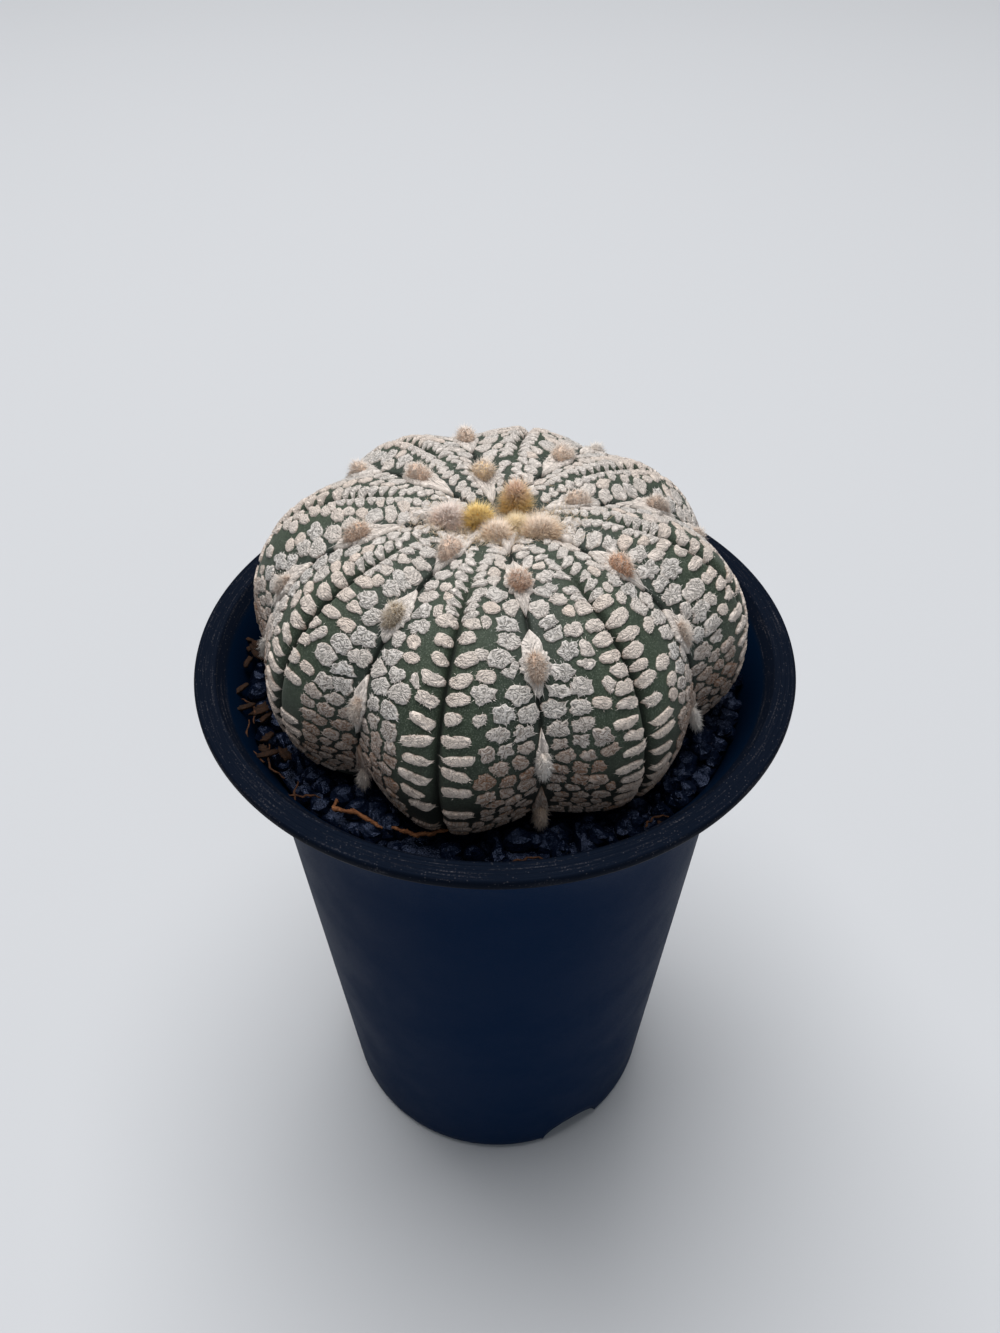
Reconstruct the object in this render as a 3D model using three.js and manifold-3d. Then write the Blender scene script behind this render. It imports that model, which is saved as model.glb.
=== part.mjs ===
// A ribbed star cactus in a deep black nursery pot filled with dark volcanic grit.
// Millimetres, +Z up. The origin is the centre of the pot's underside, and the front faces -Y.
import * as THREE from 'three';
import { mergeGeometries, mergeVertices } from 'three/addons/utils/BufferGeometryUtils.js';
import Module from 'manifold-3d';

const kernel = await Module();
kernel.setup();
const { Manifold, Mesh } = kernel;

// ---------------------------------------------------------------- driving dimensions

// Pot
const POT_HEIGHT = 121;
const RIM_RADIUS = 50;
const BASE_RADIUS = 33.6;
const WALL = 1.2;
const POT_SEGMENTS = 48;
const FLOOR = 2;
const WALL_SLOPE = 0.068; // gain in radius for each millimetre of height
const FLARE_START = 95; // height at which the wall begins to curve outwards
const FLARE_POWER = 3;
const LIP_UNDERSIDE_RADIUS = 48.6;
const LIP_DEPTH = 1.9;
const LIP_INNER_RADIUS = 46.4;
const DRAIN_ARCHES = 3;
const FIRST_ARCH_AZIMUTH = 29;
const ARCH_WIDTH = 14;
const ARCH_HEIGHT = 7;
const ARCH_REACH = 9; // how far an arch runs into the floor
const FLOOR_HOLES = 4;
const FLOOR_HOLE_RADIUS = 3.5;
const FLOOR_HOLE_CIRCLE = 15;

// Grit filling
const GRIT_LEVEL = POT_HEIGHT - 7.8; // bedding plane of the top grains
const GRAIN_RADIUS = 2.75;
const GRAIN_PITCH = 5.4;
const GRIT_HOLE_ARC = 46; // distance from the crown where the plant's hole in the grit starts
const CLEARANCE = 0.3; // air left between touching pieces

// Plant body: a flattened globe, drawn around an upright axis
const BODY_RADIUS = 40.3;
const BODY_CENTRE = new THREE.Vector3(0.3, -0.1, POT_HEIGHT + 5.5);
const UPPER_HALF_HEIGHT = 23.2;
const LOWER_HALF_HEIGHT = 27.4;
const SHOULDER_POWER = 0.64; // under 1 is squarer than an ellipse
const CROWN_DIMPLE = 3;
const CROWN_DIMPLE_RADIUS = 9;
const CROWN_SHIFT = new THREE.Vector2(1.25, -1.5);
const VALLEY_DEPTH_SIDE = 3.5; // depth of the woolly rows below the ribs
const VALLEY_DEPTH_TOP = 1.5;
const VALLEY_POWER = 1.15;
const CREASE_DEPTH = 1.1; // fold along the middle of each rib
const CREASE_HALF_WIDTH = 0.8;
const CREASE_SHOULDER = 1.4;
const UNDERSIDE_ARCS = [66, 76]; // distances from the crown of the bare rings underneath
const TAPROOT = [[10, -26], [5, -56]]; // radius and height below the body centre

// The eight woolly rows, counted from the front towards +X. `arcs` are the distances of the
// wool tufts from the crown, `swell` is how far the rib after the row bulges.
const ROWS = [
  { azimuth: 10, depth: 0.9, swell: -0.1, arcs: [18.2, 31.6, 45.2, 58] },
  { azimuth: 56, depth: 1.35, swell: 0.2, arcs: [22.1, 35.5, 54] },
  { azimuth: 102, depth: 1.35, swell: -0.6, arcs: [13.2, 25.5, 38.5, 52] },
  { azimuth: 146, depth: 1.0, swell: -0.2, arcs: [19.1, 32.5, 46.5] },
  { azimuth: 193, depth: 1.0, swell: 0.8, arcs: [11.4, 24, 38, 52] },
  { azimuth: 233, depth: 1.0, swell: 0.4, arcs: [16.4, 30, 43.5, 57] },
  { azimuth: 283, depth: 1.0, swell: -0.5, arcs: [21.5, 36.8, 51] },
  { azimuth: 326, depth: 1.3, swell: 0.5, arcs: [13.8, 26.7, 40, 53.5] },
];

// Felt pads raised from the skin, in bands down each half of a rib, larger than life
const PAD_HEIGHT = 0.65;
const PAD_TAPER = 0.84; // size of a pad's top against its foot
const PAD_MARGIN = 0.28; // bare skin left round a pad, to the edge of its cell
const FIRST_ARC = 6; // distance from the crown where the pads begin
const CROWN_RING_ARC = 4.5;
const BAND = 4.85;
const BAND_COUNT = 11;
const BAR_START_ARC = 43; // below this the pads beside a crease are long bars
const WIDE_HALF_RIB = 7.6; // a half rib this wide has two pads side by side
const AREOLE_SIZE = { width: 4, length: 10, height: 0.9 };
const WOOL_SIZE = { width: 4.2, length: 5.4, height: 3.3 };
const BOW = 0.2;
const FINEST = 0.02; // detail smaller than this is merged away
const SUNK = 0.8; // depth of a separate piece's root below the skin

// Crown wool: tufts as [x, y, radius, height] about the crown
const CROWN_TUFTS = [
  [-4.2, 1.0, 3.3, 3.1],
  [-8.2, 1.6, 3.2, 2.6],
  [1.6, 4.6, 3.1, 3.6],
  [-1.7, -2.4, 3.0, 2.6],
  [1.2, 0.9, 2.7, 2.4],
  [5.3, -1.2, 3.2, 2.6],
];

// Dry root fibres lying on the grit: points as [azimuth, radius]
const FIBRE_RADIUS = 0.45;
const FIBRE_REST = GRIT_LEVEL + 3.0;
const LONG_FIBRE = [[-44.5, 38.9], [-40, 38.2], [-34, 39.1], [-29, 38.6]];
const SHORT_FIBRE = [[-26.5, 39.2], [-21, 40.0], [-16, 39.7], [-11.5, 38.8]];
const BARK_CHIPS = [
  [-72, 40.2, 3.4, 2.0, 20],
  [-63, 40.6, 2.6, 1.8, 75],
  [-56, 39.8, 3.0, 1.6, 130],
];

// ---------------------------------------------------------------- shared helpers

const radians = THREE.MathUtils.degToRad;

function seededRandom(seed) {
  let state = seed >>> 0;
  return () => {
    state = (state + 0x6d2b79f5) >>> 0;
    let mixed = Math.imul(state ^ (state >>> 15), 1 | state);
    mixed = (mixed + Math.imul(mixed ^ (mixed >>> 7), 61 | mixed)) ^ mixed;
    return ((mixed ^ (mixed >>> 14)) >>> 0) / 4294967296;
  };
}

// The same shape with nothing but its points and triangles.
function bare(source) {
  const geometry = source.clone();
  geometry.deleteAttribute('normal');
  geometry.deleteAttribute('uv');
  return geometry;
}

function toManifold(source) {
  const welded = mergeVertices(bare(source), 1e-5);
  const vertProperties = new Float32Array(welded.attributes.position.array);
  const triVerts = new Uint32Array(welded.index.array);
  const mesh = new Mesh({ numProp: 3, vertProperties, triVerts });
  mesh.merge();
  return new Manifold(mesh);
}

function toGeometry(solid) {
  const mesh = solid.getMesh();
  const geometry = new THREE.BufferGeometry();
  geometry.setAttribute('position', new THREE.BufferAttribute(mesh.vertProperties, 3));
  geometry.setIndex(new THREE.BufferAttribute(mesh.triVerts, 1));
  geometry.computeVertexNormals();
  return geometry;
}

// Cutting can leave scraps; the piece is its largest body.
function largest(solid) {
  return solid.decompose().reduce((a, b) => (b.volume() > a.volume() ? b : a));
}

// A closed skin over stacked rings of points. A ring of one point closes an end.
function skin(rings) {
  const positions = [];
  const starts = rings.map((ring) => {
    const start = positions.length / 3;
    ring.forEach((point) => positions.push(point.x, point.y, point.z));
    return start;
  });
  const triangles = [];
  for (let k = 0; k + 1 < rings.length; k += 1) {
    const count = Math.max(rings[k].length, rings[k + 1].length);
    for (let j = 0; j < count; j += 1) {
      const next = (j + 1) % count;
      const a = starts[k] + (rings[k].length > 1 ? j : 0);
      const b = starts[k] + (rings[k].length > 1 ? next : 0);
      const c = starts[k + 1] + (rings[k + 1].length > 1 ? j : 0);
      const d = starts[k + 1] + (rings[k + 1].length > 1 ? next : 0);
      if (a !== b) triangles.push(a, c, b);
      if (c !== d) triangles.push(b, c, d);
    }
  }
  const geometry = new THREE.BufferGeometry();
  geometry.setAttribute('position', new THREE.Float32BufferAttribute(positions, 3));
  geometry.setIndex(triangles);
  return geometry;
}

// LatheGeometry turns about Y; the pieces here stand on Z.
function lathe(profile, segments) {
  const points = profile.map(([radius, height]) => new THREE.Vector2(radius, height));
  return new THREE.LatheGeometry(points, segments).rotateX(Math.PI / 2);
}

// A point on a circle about Z, its azimuth counted from the front (-Y) towards +X.
function around(azimuth, radius, height) {
  const angle = radians(azimuth);
  return new THREE.Vector3(radius * Math.sin(angle), -radius * Math.cos(angle), height);
}

// ---------------------------------------------------------------- plant body surface

// Meridian of the smooth globe at a polar angle in degrees: radius and height.
function meridian(angle) {
  const turn = radians(angle);
  const upper = angle < 90;
  const sine = Math.max(Math.sin(turn), 0);
  const radius = BODY_RADIUS * (upper ? sine ** SHOULDER_POWER : sine);
  const half = upper ? UPPER_HALF_HEIGHT : LOWER_HALF_HEIGHT;
  const dimple = CROWN_DIMPLE * Math.exp(-((radius / CROWN_DIMPLE_RADIUS) ** 2));
  return new THREE.Vector2(radius, half * Math.cos(turn) - dimple);
}

// Polar angles for even steps of distance from the crown, walked once along the meridian.
const ARC_STEP = 0.05;
const arcToAngle = [0];
{
  let travelled = 0;
  let previous = meridian(0);
  for (let angle = 0.02; angle <= 170; angle += 0.02) {
    const here = meridian(angle);
    travelled += here.distanceTo(previous);
    previous = here;
    while (travelled >= arcToAngle.length * ARC_STEP) arcToAngle.push(angle);
  }
}
const angleAtArc = (arc) => arcToAngle[Math.round(arc / ARC_STEP)];

// The rib that an azimuth falls on, and how far across it (0 to 1).
function ribAt(azimuth) {
  const turned = THREE.MathUtils.euclideanModulo(azimuth - ROWS[0].azimuth, 360);
  let index = ROWS.length - 1;
  while (turned < ROWS[index].azimuth - ROWS[0].azimuth) index -= 1;
  const next = (index + 1) % ROWS.length;
  const start = ROWS[index].azimuth - ROWS[0].azimuth;
  const end = next === 0 ? 360 : ROWS[next].azimuth - ROWS[0].azimuth;
  return { index, next, across: (turned - start) / (end - start), span: end - start };
}

// A point on the ribbed skin, raised by `lift` along the meridian's normal.
function bodyPoint(azimuth, angle, lift = 0) {
  const here = meridian(angle);
  const ahead = meridian(angle + 0.1);
  const behind = meridian(Math.max(angle - 0.1, 0));
  const along = ahead.sub(behind).normalize();
  const normal = new THREE.Vector2(-along.y, along.x);
  const rib = ribAt(azimuth);
  const share = here.x / BODY_RADIUS;
  const upper = angle < 90;
  const bulge = Math.max(Math.sin(Math.PI * rib.across), 0) ** VALLEY_POWER;
  const rowDepth = THREE.MathUtils.lerp(ROWS[rib.index].depth, ROWS[rib.next].depth, rib.across);
  const side = upper ? share ** 4 : 1;
  const valley = rowDepth * THREE.MathUtils.lerp(VALLEY_DEPTH_TOP, VALLEY_DEPTH_SIDE, side);
  const fade = Math.min(share / 0.35, 1);
  const swell = ROWS[rib.index].swell * bulge * (upper ? share ** 3 : 1);
  const fromCrease = (rib.across - 0.5) * radians(rib.span) * here.x;
  const creaseFade = THREE.MathUtils.clamp((share - 0.25) / 0.3, 0, 1);
  const crease = CREASE_DEPTH * creaseFade * Math.exp(-((fromCrease / CREASE_HALF_WIDTH) ** 2));
  const offset = lift + swell - valley * (1 - bulge) * fade - crease;
  const shift = upper ? Math.cos(radians(angle)) ** 2 : 0;
  const point = around(azimuth, here.x + offset * normal.x, here.y + offset * normal.y);
  point.x += CROWN_SHIFT.x * shift;
  point.y += CROWN_SHIFT.y * shift;
  return point.add(BODY_CENTRE);
}

// Halves of the ribs in order round the body, each swept from its woolly row to its crease.
const HALF_RIBS = ROWS.flatMap((row, index) => {
  const next = ROWS[(index + 1) % ROWS.length];
  const end = index + 1 < ROWS.length ? next.azimuth : next.azimuth + 360;
  const reach = (end - row.azimuth) / 2;
  return [
    { azimuth: row.azimuth, reach, arcs: row.arcs },
    { azimuth: end, reach: -reach, arcs: next.arcs },
  ];
});

const halfWidth = (half, arc) => radians(Math.abs(half.reach)) * meridian(angleAtArc(arc)).x;

// Fractions of a half rib, from row to crease, at which its skin has points.
function stopsAt(half, arc) {
  const width = halfWidth(half, arc);
  if (width < WIDE_HALF_RIB) return [0, 0.5, 1];
  return [0, 0.34, 1 - CREASE_SHOULDER / width, 1];
}

// A closed ring of skin points at one distance from the crown.
function ringAt(arc, lift = 0, template = arc) {
  return HALF_RIBS.flatMap((half) => {
    const inward = half.reach > 0;
    const stops = stopsAt(half, template);
    const ordered = inward ? stops.slice(0, -1) : stops.slice(1).reverse();
    return ordered.map((part) => bodyPoint(
      half.azimuth + part * half.reach,
      angleAtArc(arc),
      lift,
    ));
  });
}

// Corners of a pad in its cell: [x, arc] in millimetres, as a lumpy polygon in a rectangle.
function padOutline(left, right, top, bottom, sides, random) {
  const turn = random() * 0.8;
  return Array.from({ length: sides }, (_, corner) => {
    const angle = turn + (corner / sides) * 2 * Math.PI;
    const bulge = 0.86 + 0.14 * random();
    const square = 1 / Math.max(Math.abs(Math.cos(angle)), Math.abs(Math.sin(angle)), 0.8);
    const x = (left + right) / 2 + ((right - left) / 2) * Math.cos(angle) * bulge * square;
    const arc = (top + bottom) / 2 + ((bottom - top) / 2) * Math.sin(angle) * bulge * square;
    return [THREE.MathUtils.clamp(x, left, right), THREE.MathUtils.clamp(arc, top, bottom)];
  });
}

// The pads of one cell: one on a narrow half rib, two on a wide one, and none on a half cell.
function padsInCell(half, top, bottom, random) {
  if (bottom - top < 0.75 * BAND) return [];
  const middle = (top + bottom) / 2;
  const width = halfWidth(half, middle);
  const toTuft = Math.min(...half.arcs.map((arc) => Math.abs(arc - middle)));
  const beside = Math.max(0, 1 - toTuft / (AREOLE_SIZE.length / 2));
  const left = PAD_MARGIN + 2.1 * beside;
  const right = width - PAD_MARGIN;
  const high = top + PAD_MARGIN;
  const low = bottom - PAD_MARGIN;
  if (width < WIDE_HALF_RIB) {
    return right - left > 1.2 ? [padOutline(left, right, high, low, 5, random)] : [];
  }
  const split = width * (0.42 + 0.08 * random());
  const bare = Math.max(0, width - 11) * 0.5;
  const flank = padOutline(left, split - 0.25, high, low, 5, random);
  if (middle < BAR_START_ARC) {
    const inner = split + 0.25 + bare;
    return [flank, padOutline(inner, right, high + 0.3 * random(), low - 0.3, 5, random)];
  }
  const trim = 0.9 + 0.4 * random();
  const bar = padOutline(split + 0.25 + bare, right, high + trim, low - trim, 4, () => 0.98);
  return [flank, bar];
}

// Skin of one half rib with its pads: cells between lines of equal distance from the crown.
function halfRibFaces(half, lines, otherLines, random) {
  const faces = [];
  const place = ([u, arc], lift = 0) => (
    bodyPoint(half.azimuth + u * half.reach, angleAtArc(arc), lift)
  );
  const add = (a, b, c) => faces.push(half.reach > 0 ? [a, b, c] : [a, c, b]);
  for (let k = 0; k + 1 < lines.length; k += 1) {
    const [top, bottom] = [lines[k], lines[k + 1]];
    const width = halfWidth(half, (top + bottom) / 2);
    const between = otherLines.filter((arc) => arc > top + 0.01 && arc < bottom - 0.01);
    const contour = [
      ...between.map((arc) => [0, arc]),
      ...stopsAt(half, bottom).map((u) => [u, bottom]),
      ...between.map((arc) => [1, arc]).reverse(),
      ...stopsAt(half, top).reverse().map((u) => [u, top]),
    ];
    const pads = padsInCell(half, top, bottom, random)
      .map((outline) => outline.map(([x, arc]) => [x / width, arc]).reverse());
    // The cell laid flat, its sides bowed in a little so that every corner is used.
    const flat = (points) => points.map(([u, arc]) => {
      const down = (arc - top) / (bottom - top);
      const x = u * width - BOW * (u - 0.5) * down * (1 - down);
      return new THREE.Vector2(x, -arc + BOW * (down - 0.5) * u * (1 - u));
    });
    const all = [contour, ...pads].flat();
    THREE.ShapeUtils.triangulateShape(flat(contour), pads.map(flat)).forEach(([a, b, c]) => {
      add(place(all[a]), place(all[b]), place(all[c]));
    });
    pads.forEach((outline) => {
      const centre = [0, 1].map((axis) => (
        outline.reduce((sum, point) => sum + point[axis], 0) / outline.length
      ));
      const shrink = (point) => point.map((value, axis) => (
        THREE.MathUtils.lerp(centre[axis], value, PAD_TAPER)
      ));
      const foot = outline.map((point) => place(point));
      const crest = outline.map((point) => place(shrink(point), PAD_HEIGHT));
      foot.forEach((here, corner) => {
        const next = (corner + 1) % foot.length;
        add(here, foot[next], crest[corner]);
        add(crest[corner], foot[next], crest[next]);
      });
      for (let corner = 1; corner + 1 < crest.length; corner += 1) {
        add(crest[0], crest[corner], crest[corner + 1]);
      }
    });
  }
  return faces;
}

function facesToGeometry(faces) {
  const points = faces.flat().flatMap((point) => [point.x, point.y, point.z]);
  const geometry = new THREE.BufferGeometry();
  geometry.setAttribute('position', new THREE.Float32BufferAttribute(points, 3));
  geometry.setIndex(faces.flat().map((_, index) => index));
  return geometry;
}

// A spearhead of felt on a row, or the wool tuft on it: a polygon dome with its foot sunk in.
function dome(azimuth, arc, { width, length, height }, sides, shrink) {
  const radius = meridian(angleAtArc(arc)).x;
  const ring = (scale, lift) => Array.from({ length: sides }, (_, corner) => {
    const angle = (corner / sides) * 2 * Math.PI;
    const across = 0.5 * width * scale * Math.sin(angle);
    const down = 0.5 * length * scale * Math.cos(angle);
    const bearing = azimuth + THREE.MathUtils.radToDeg(across / radius);
    return bodyPoint(bearing, angleAtArc(arc + down), lift);
  });
  const middle = (lift) => [bodyPoint(azimuth, angleAtArc(arc), lift)];
  return skin([middle(height), ring(shrink, height * 0.8), ring(1, -SUNK), middle(-SUNK)]);
}

function areolePieces() {
  return ROWS.flatMap((row) => row.arcs.flatMap((arc) => [
    dome(row.azimuth, arc, AREOLE_SIZE, 4, 0.8),
    dome(row.azimuth, arc + 1, WOOL_SIZE, 5, 0.7),
  ]));
}

function taprootRings(template, grow) {
  const headings = template.map((point) => (
    Math.atan2(point.y - BODY_CENTRE.y, point.x - BODY_CENTRE.x)
  ));
  const rings = TAPROOT.map(([radius, drop]) => headings.map((heading) => new THREE.Vector3(
    BODY_CENTRE.x + (radius + grow) * Math.cos(heading),
    BODY_CENTRE.y + (radius + grow) * Math.sin(heading),
    BODY_CENTRE.z + drop - grow,
  )));
  return [...rings, [new THREE.Vector3(BODY_CENTRE.x, BODY_CENTRE.y, rings.at(-1)[0].z - 2)]];
}

function plantBody() {
  const random = seededRandom(16);
  const last = FIRST_ARC + BAND * BAND_COUNT;
  const even = Array.from({ length: BAND_COUNT + 1 }, (_, k) => FIRST_ARC + BAND * k);
  const odd = [FIRST_ARC, ...even.slice(0, -1).map((arc) => arc + BAND / 2), last];
  const faces = HALF_RIBS.flatMap((half, index) => (
    index % 2 ? halfRibFaces(half, odd, even, random) : halfRibFaces(half, even, odd, random)
  ));
  const ribbed = facesToGeometry(faces);
  const crown = skin([
    [bodyPoint(0, 0.01)],
    ringAt(CROWN_RING_ARC, 0, FIRST_ARC),
    ringAt(FIRST_ARC),
  ]);
  const under = UNDERSIDE_ARCS.map((arc) => ringAt(arc, 0, last));
  const root = skin([ringAt(last), ...under, ...taprootRings(under.at(-1), 0)]);
  const body = toManifold(mergeGeometries([ribbed, crown, root].map(bare)));
  return largest(Manifold.union([body, ...areolePieces().map(toManifold)])).simplify(FINEST);
}

// The plant's outline swollen by `grow`, without pads: what the plant stands clear of.
function plantSpace(grow, firstArc, lastArc) {
  const steps = 5;
  const arcs = Array.from({ length: steps + 1 }, (_, k) => (
    THREE.MathUtils.lerp(firstArc, lastArc, k / steps)
  ));
  const rings = arcs.map((arc) => ringAt(arc, grow, lastArc));
  const lid = new THREE.Vector3(BODY_CENTRE.x, BODY_CENTRE.y, rings[0][0].z + 4);
  return skin([[lid], ...rings, ...taprootRings(rings.at(-1), grow)]);
}

// ---------------------------------------------------------------- crown wool

function crownWool() {
  const centre = bodyPoint(0, 0.01);
  const tufts = CROWN_TUFTS.map(([x, y, radius, height]) => {
    const tuft = new THREE.SphereGeometry(radius, 9, 5).rotateX(Math.PI / 2);
    tuft.scale(1, 1, height / radius);
    return tuft.translate(centre.x + x, centre.y + y, centre.z + 0.12 * (x * x + y * y) ** 0.5);
  });
  const overPads = AREOLE_SIZE.height + CLEARANCE;
  const seat = skin([
    [bodyPoint(0, 0.01, CLEARANCE)],
    ringAt(CROWN_RING_ARC, CLEARANCE, FIRST_ARC),
    ringAt(FIRST_ARC, overPads),
    ringAt(1.5 * FIRST_ARC, overPads, FIRST_ARC),
    ringAt(2 * FIRST_ARC, overPads, FIRST_ARC),
    ringAt(3 * FIRST_ARC, overPads, FIRST_ARC),
    ringAt(3 * FIRST_ARC, -8, FIRST_ARC),
    [bodyPoint(0, 0.01, -8)],
  ]);
  return largest(Manifold.union(tufts.map(toManifold)).subtract(toManifold(seat)));
}

// ---------------------------------------------------------------- pot

const wallRadius = (height) => BASE_RADIUS + WALL_SLOPE * height;

// Outer radius of the pot's wall, its upper part curving out to the lip.
function outerRadius(height) {
  const lipUnderside = POT_HEIGHT - LIP_DEPTH;
  const rise = Math.max((height - FLARE_START) / (lipUnderside - FLARE_START), 0);
  const flare = LIP_UNDERSIDE_RADIUS - wallRadius(lipUnderside);
  return wallRadius(height) + flare * rise ** FLARE_POWER;
}

// Inner radius: a wall's thickness inside, meeting the lip's inner edge at the top.
function innerRadius(height) {
  const rise = Math.max((height - FLARE_START) / (POT_HEIGHT - FLARE_START), 0);
  const flare = LIP_INNER_RADIUS + WALL - wallRadius(POT_HEIGHT);
  return wallRadius(height) + flare * rise ** FLARE_POWER - WALL;
}

const FLARE_HEIGHTS = [FLARE_START, 103, 109, 113.5, 117];

function pot() {
  const outside = [
    [0, 0],
    [BASE_RADIUS - 1, 0],
    [BASE_RADIUS, 1],
    ...FLARE_HEIGHTS.map((height) => [outerRadius(height), height]),
    [LIP_UNDERSIDE_RADIUS, POT_HEIGHT - LIP_DEPTH],
    [RIM_RADIUS - 0.6, POT_HEIGHT - LIP_DEPTH],
    [RIM_RADIUS, POT_HEIGHT - LIP_DEPTH + 0.6],
    [RIM_RADIUS, POT_HEIGHT - 0.5],
    [RIM_RADIUS - 0.5, POT_HEIGHT],
    [LIP_INNER_RADIUS, POT_HEIGHT],
  ];
  const inside = FLARE_HEIGHTS.map((height) => [innerRadius(height), height]).reverse();
  const profile = [...outside, ...inside, [innerRadius(FLOOR), FLOOR], [0, FLOOR]];
  const body = toManifold(lathe(profile, POT_SEGMENTS));
  const tools = [];
  for (let k = 0; k < DRAIN_ARCHES; k += 1) {
    const azimuth = FIRST_ARCH_AZIMUTH + (360 / DRAIN_ARCHES) * k;
    const arch = new THREE.CylinderGeometry(1, 1, 2 * ARCH_REACH, 14)
      .scale(ARCH_WIDTH / 2, 1, ARCH_HEIGHT)
      .translate(0, -BASE_RADIUS, 0);
    tools.push(toManifold(arch.rotateZ(radians(azimuth))));
  }
  for (let k = 0; k < FLOOR_HOLES; k += 1) {
    const place = around((360 / FLOOR_HOLES) * (k + 0.5), FLOOR_HOLE_CIRCLE, FLOOR / 2);
    const hole = new THREE.CylinderGeometry(FLOOR_HOLE_RADIUS, FLOOR_HOLE_RADIUS, 3 * FLOOR, 16);
    tools.push(toManifold(hole.rotateX(Math.PI / 2).translate(place.x, place.y, place.z)));
  }
  return body.subtract(Manifold.union(tools));
}

// ---------------------------------------------------------------- grit

// One broken grain: a twenty-faced stone, stretched and turned at random.
function grain(centre, radius, random) {
  const stone = new THREE.IcosahedronGeometry(radius, 0);
  stone.scale(0.85 + 0.3 * random(), 0.85 + 0.3 * random(), 0.75 + 0.3 * random());
  const turn = new THREE.Euler(3 * random(), 3 * random(), 6 * random());
  stone.applyMatrix4(new THREE.Matrix4().makeRotationFromEuler(turn));
  return stone.translate(centre.x, centre.y, centre.z);
}

function grit() {
  const random = seededRandom(5);
  const heights = [FLARE_START, 103, 109, GRIT_LEVEL];
  const side = heights.map((height) => [innerRadius(height) - CLEARANCE, height]);
  const foot = FLOOR + CLEARANCE;
  const base = [[0, foot], [innerRadius(foot) - CLEARANCE, foot]];
  const fill = lathe([...base, ...side, [0, GRIT_LEVEL]], POT_SEGMENTS);
  const grains = [];
  const wall = innerRadius(GRIT_LEVEL) - CLEARANCE;
  const circles = [wall - GRAIN_RADIUS, wall - GRAIN_RADIUS - GRAIN_PITCH];
  circles.forEach((circle, level) => {
    const count = Math.round((2 * Math.PI * circle) / GRAIN_PITCH);
    for (let k = 0; k < count; k += 1) {
      const azimuth = ((k + 0.5 * (level % 2) + 0.25 * random()) / count) * 360;
      const centre = around(azimuth, circle + 0.7 * (random() - 0.5), GRIT_LEVEL + 0.5 * random());
      grains.push(toManifold(grain(centre, GRAIN_RADIUS * (0.85 + 0.2 * random()), random)));
    }
  });
  const bed = Manifold.union([toManifold(fill), ...grains]);
  const bore = toManifold(plantSpace(PAD_HEIGHT + CLEARANCE, GRIT_HOLE_ARC, UNDERSIDE_ARCS[1]));
  return largest(bed.subtract(bore));
}

// ---------------------------------------------------------------- litter on the grit

function fibre(route) {
  const points = route.map(([azimuth, radius]) => around(azimuth, radius, FIBRE_REST));
  const section = new THREE.Shape().absarc(0, 0, FIBRE_RADIUS, 0, 2 * Math.PI);
  return new THREE.ExtrudeGeometry(section, {
    extrudePath: new THREE.CatmullRomCurve3(points),
    steps: 12,
    curveSegments: 2,
    bevelEnabled: false,
  });
}

function barkChip([azimuth, radius, length, width, turn]) {
  const chip = new THREE.BoxGeometry(length, width, 0.9);
  const place = around(azimuth, radius, FIBRE_REST + 0.3);
  return chip.rotateX(0.2).rotateZ(radians(turn)).translate(place.x, place.y, place.z);
}

// ---------------------------------------------------------------- the assembled part

const part = new THREE.Group();

function addPiece(name, geometry, color, roughness) {
  geometry.computeVertexNormals();
  const material = new THREE.MeshStandardMaterial({ color, roughness, metalness: 0 });
  const piece = new THREE.Mesh(geometry, material);
  piece.name = name;
  part.add(piece);
}

addPiece('pot', toGeometry(pot()), 0x15181d, 0.5);
addPiece('grit', toGeometry(grit()), 0x16171a, 0.6);
addPiece('cactus', toGeometry(plantBody()), 0x66755f, 0.85);
addPiece('crown_wool', toGeometry(crownWool()), 0xc9a164, 0.95);
addPiece('dry_root_long', fibre(LONG_FIBRE), 0xb0642f, 0.8);
addPiece('dry_root_short', fibre(SHORT_FIBRE), 0xb0642f, 0.8);
BARK_CHIPS.forEach((chip, index) => {
  addPiece(`bark_chip_${index + 1}`, barkChip(chip), 0x5a3421, 0.85);
});

export default part;
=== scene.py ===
"""A ribbed star cactus in a deep black nursery pot filled with dark volcanic grit.

Lengths are worked out in millimetres and written to the meshes in metres. +Z is up and the
front faces -Y. Azimuths are degrees from the front towards +X. On the plant, `arc` is the
distance along the skin from the middle of the crown.
"""

import math

import bpy
import numpy as np
from mathutils import Matrix, Vector


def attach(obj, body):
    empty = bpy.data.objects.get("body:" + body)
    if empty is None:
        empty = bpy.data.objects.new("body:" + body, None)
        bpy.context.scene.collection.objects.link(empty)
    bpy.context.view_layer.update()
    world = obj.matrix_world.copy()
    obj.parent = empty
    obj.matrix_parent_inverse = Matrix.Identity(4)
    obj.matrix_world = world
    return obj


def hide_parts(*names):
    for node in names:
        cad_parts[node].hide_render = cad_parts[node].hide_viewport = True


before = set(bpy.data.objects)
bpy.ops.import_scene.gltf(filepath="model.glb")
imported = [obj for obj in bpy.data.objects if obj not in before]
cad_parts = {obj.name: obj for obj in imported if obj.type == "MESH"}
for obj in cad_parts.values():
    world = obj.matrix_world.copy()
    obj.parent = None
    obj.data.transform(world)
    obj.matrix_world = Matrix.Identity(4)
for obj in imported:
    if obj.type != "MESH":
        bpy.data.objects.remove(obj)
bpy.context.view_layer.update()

bl_info = {
    "name": "Potted star cactus",
    "version": (1, 0, 0),
    "blender": (4, 5, 0),
    "location": "View3D > Sidebar > Cactus",
    "description": "Builds a ribbed star cactus with its wool, grit and nursery pot",
    "category": "Add Mesh",
}

MM = 0.001
BODY = "root"
SPIKE_POINTS = 4  # points of one hair

# ------------------------------------------------------------------ fixed form of the plant

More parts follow.
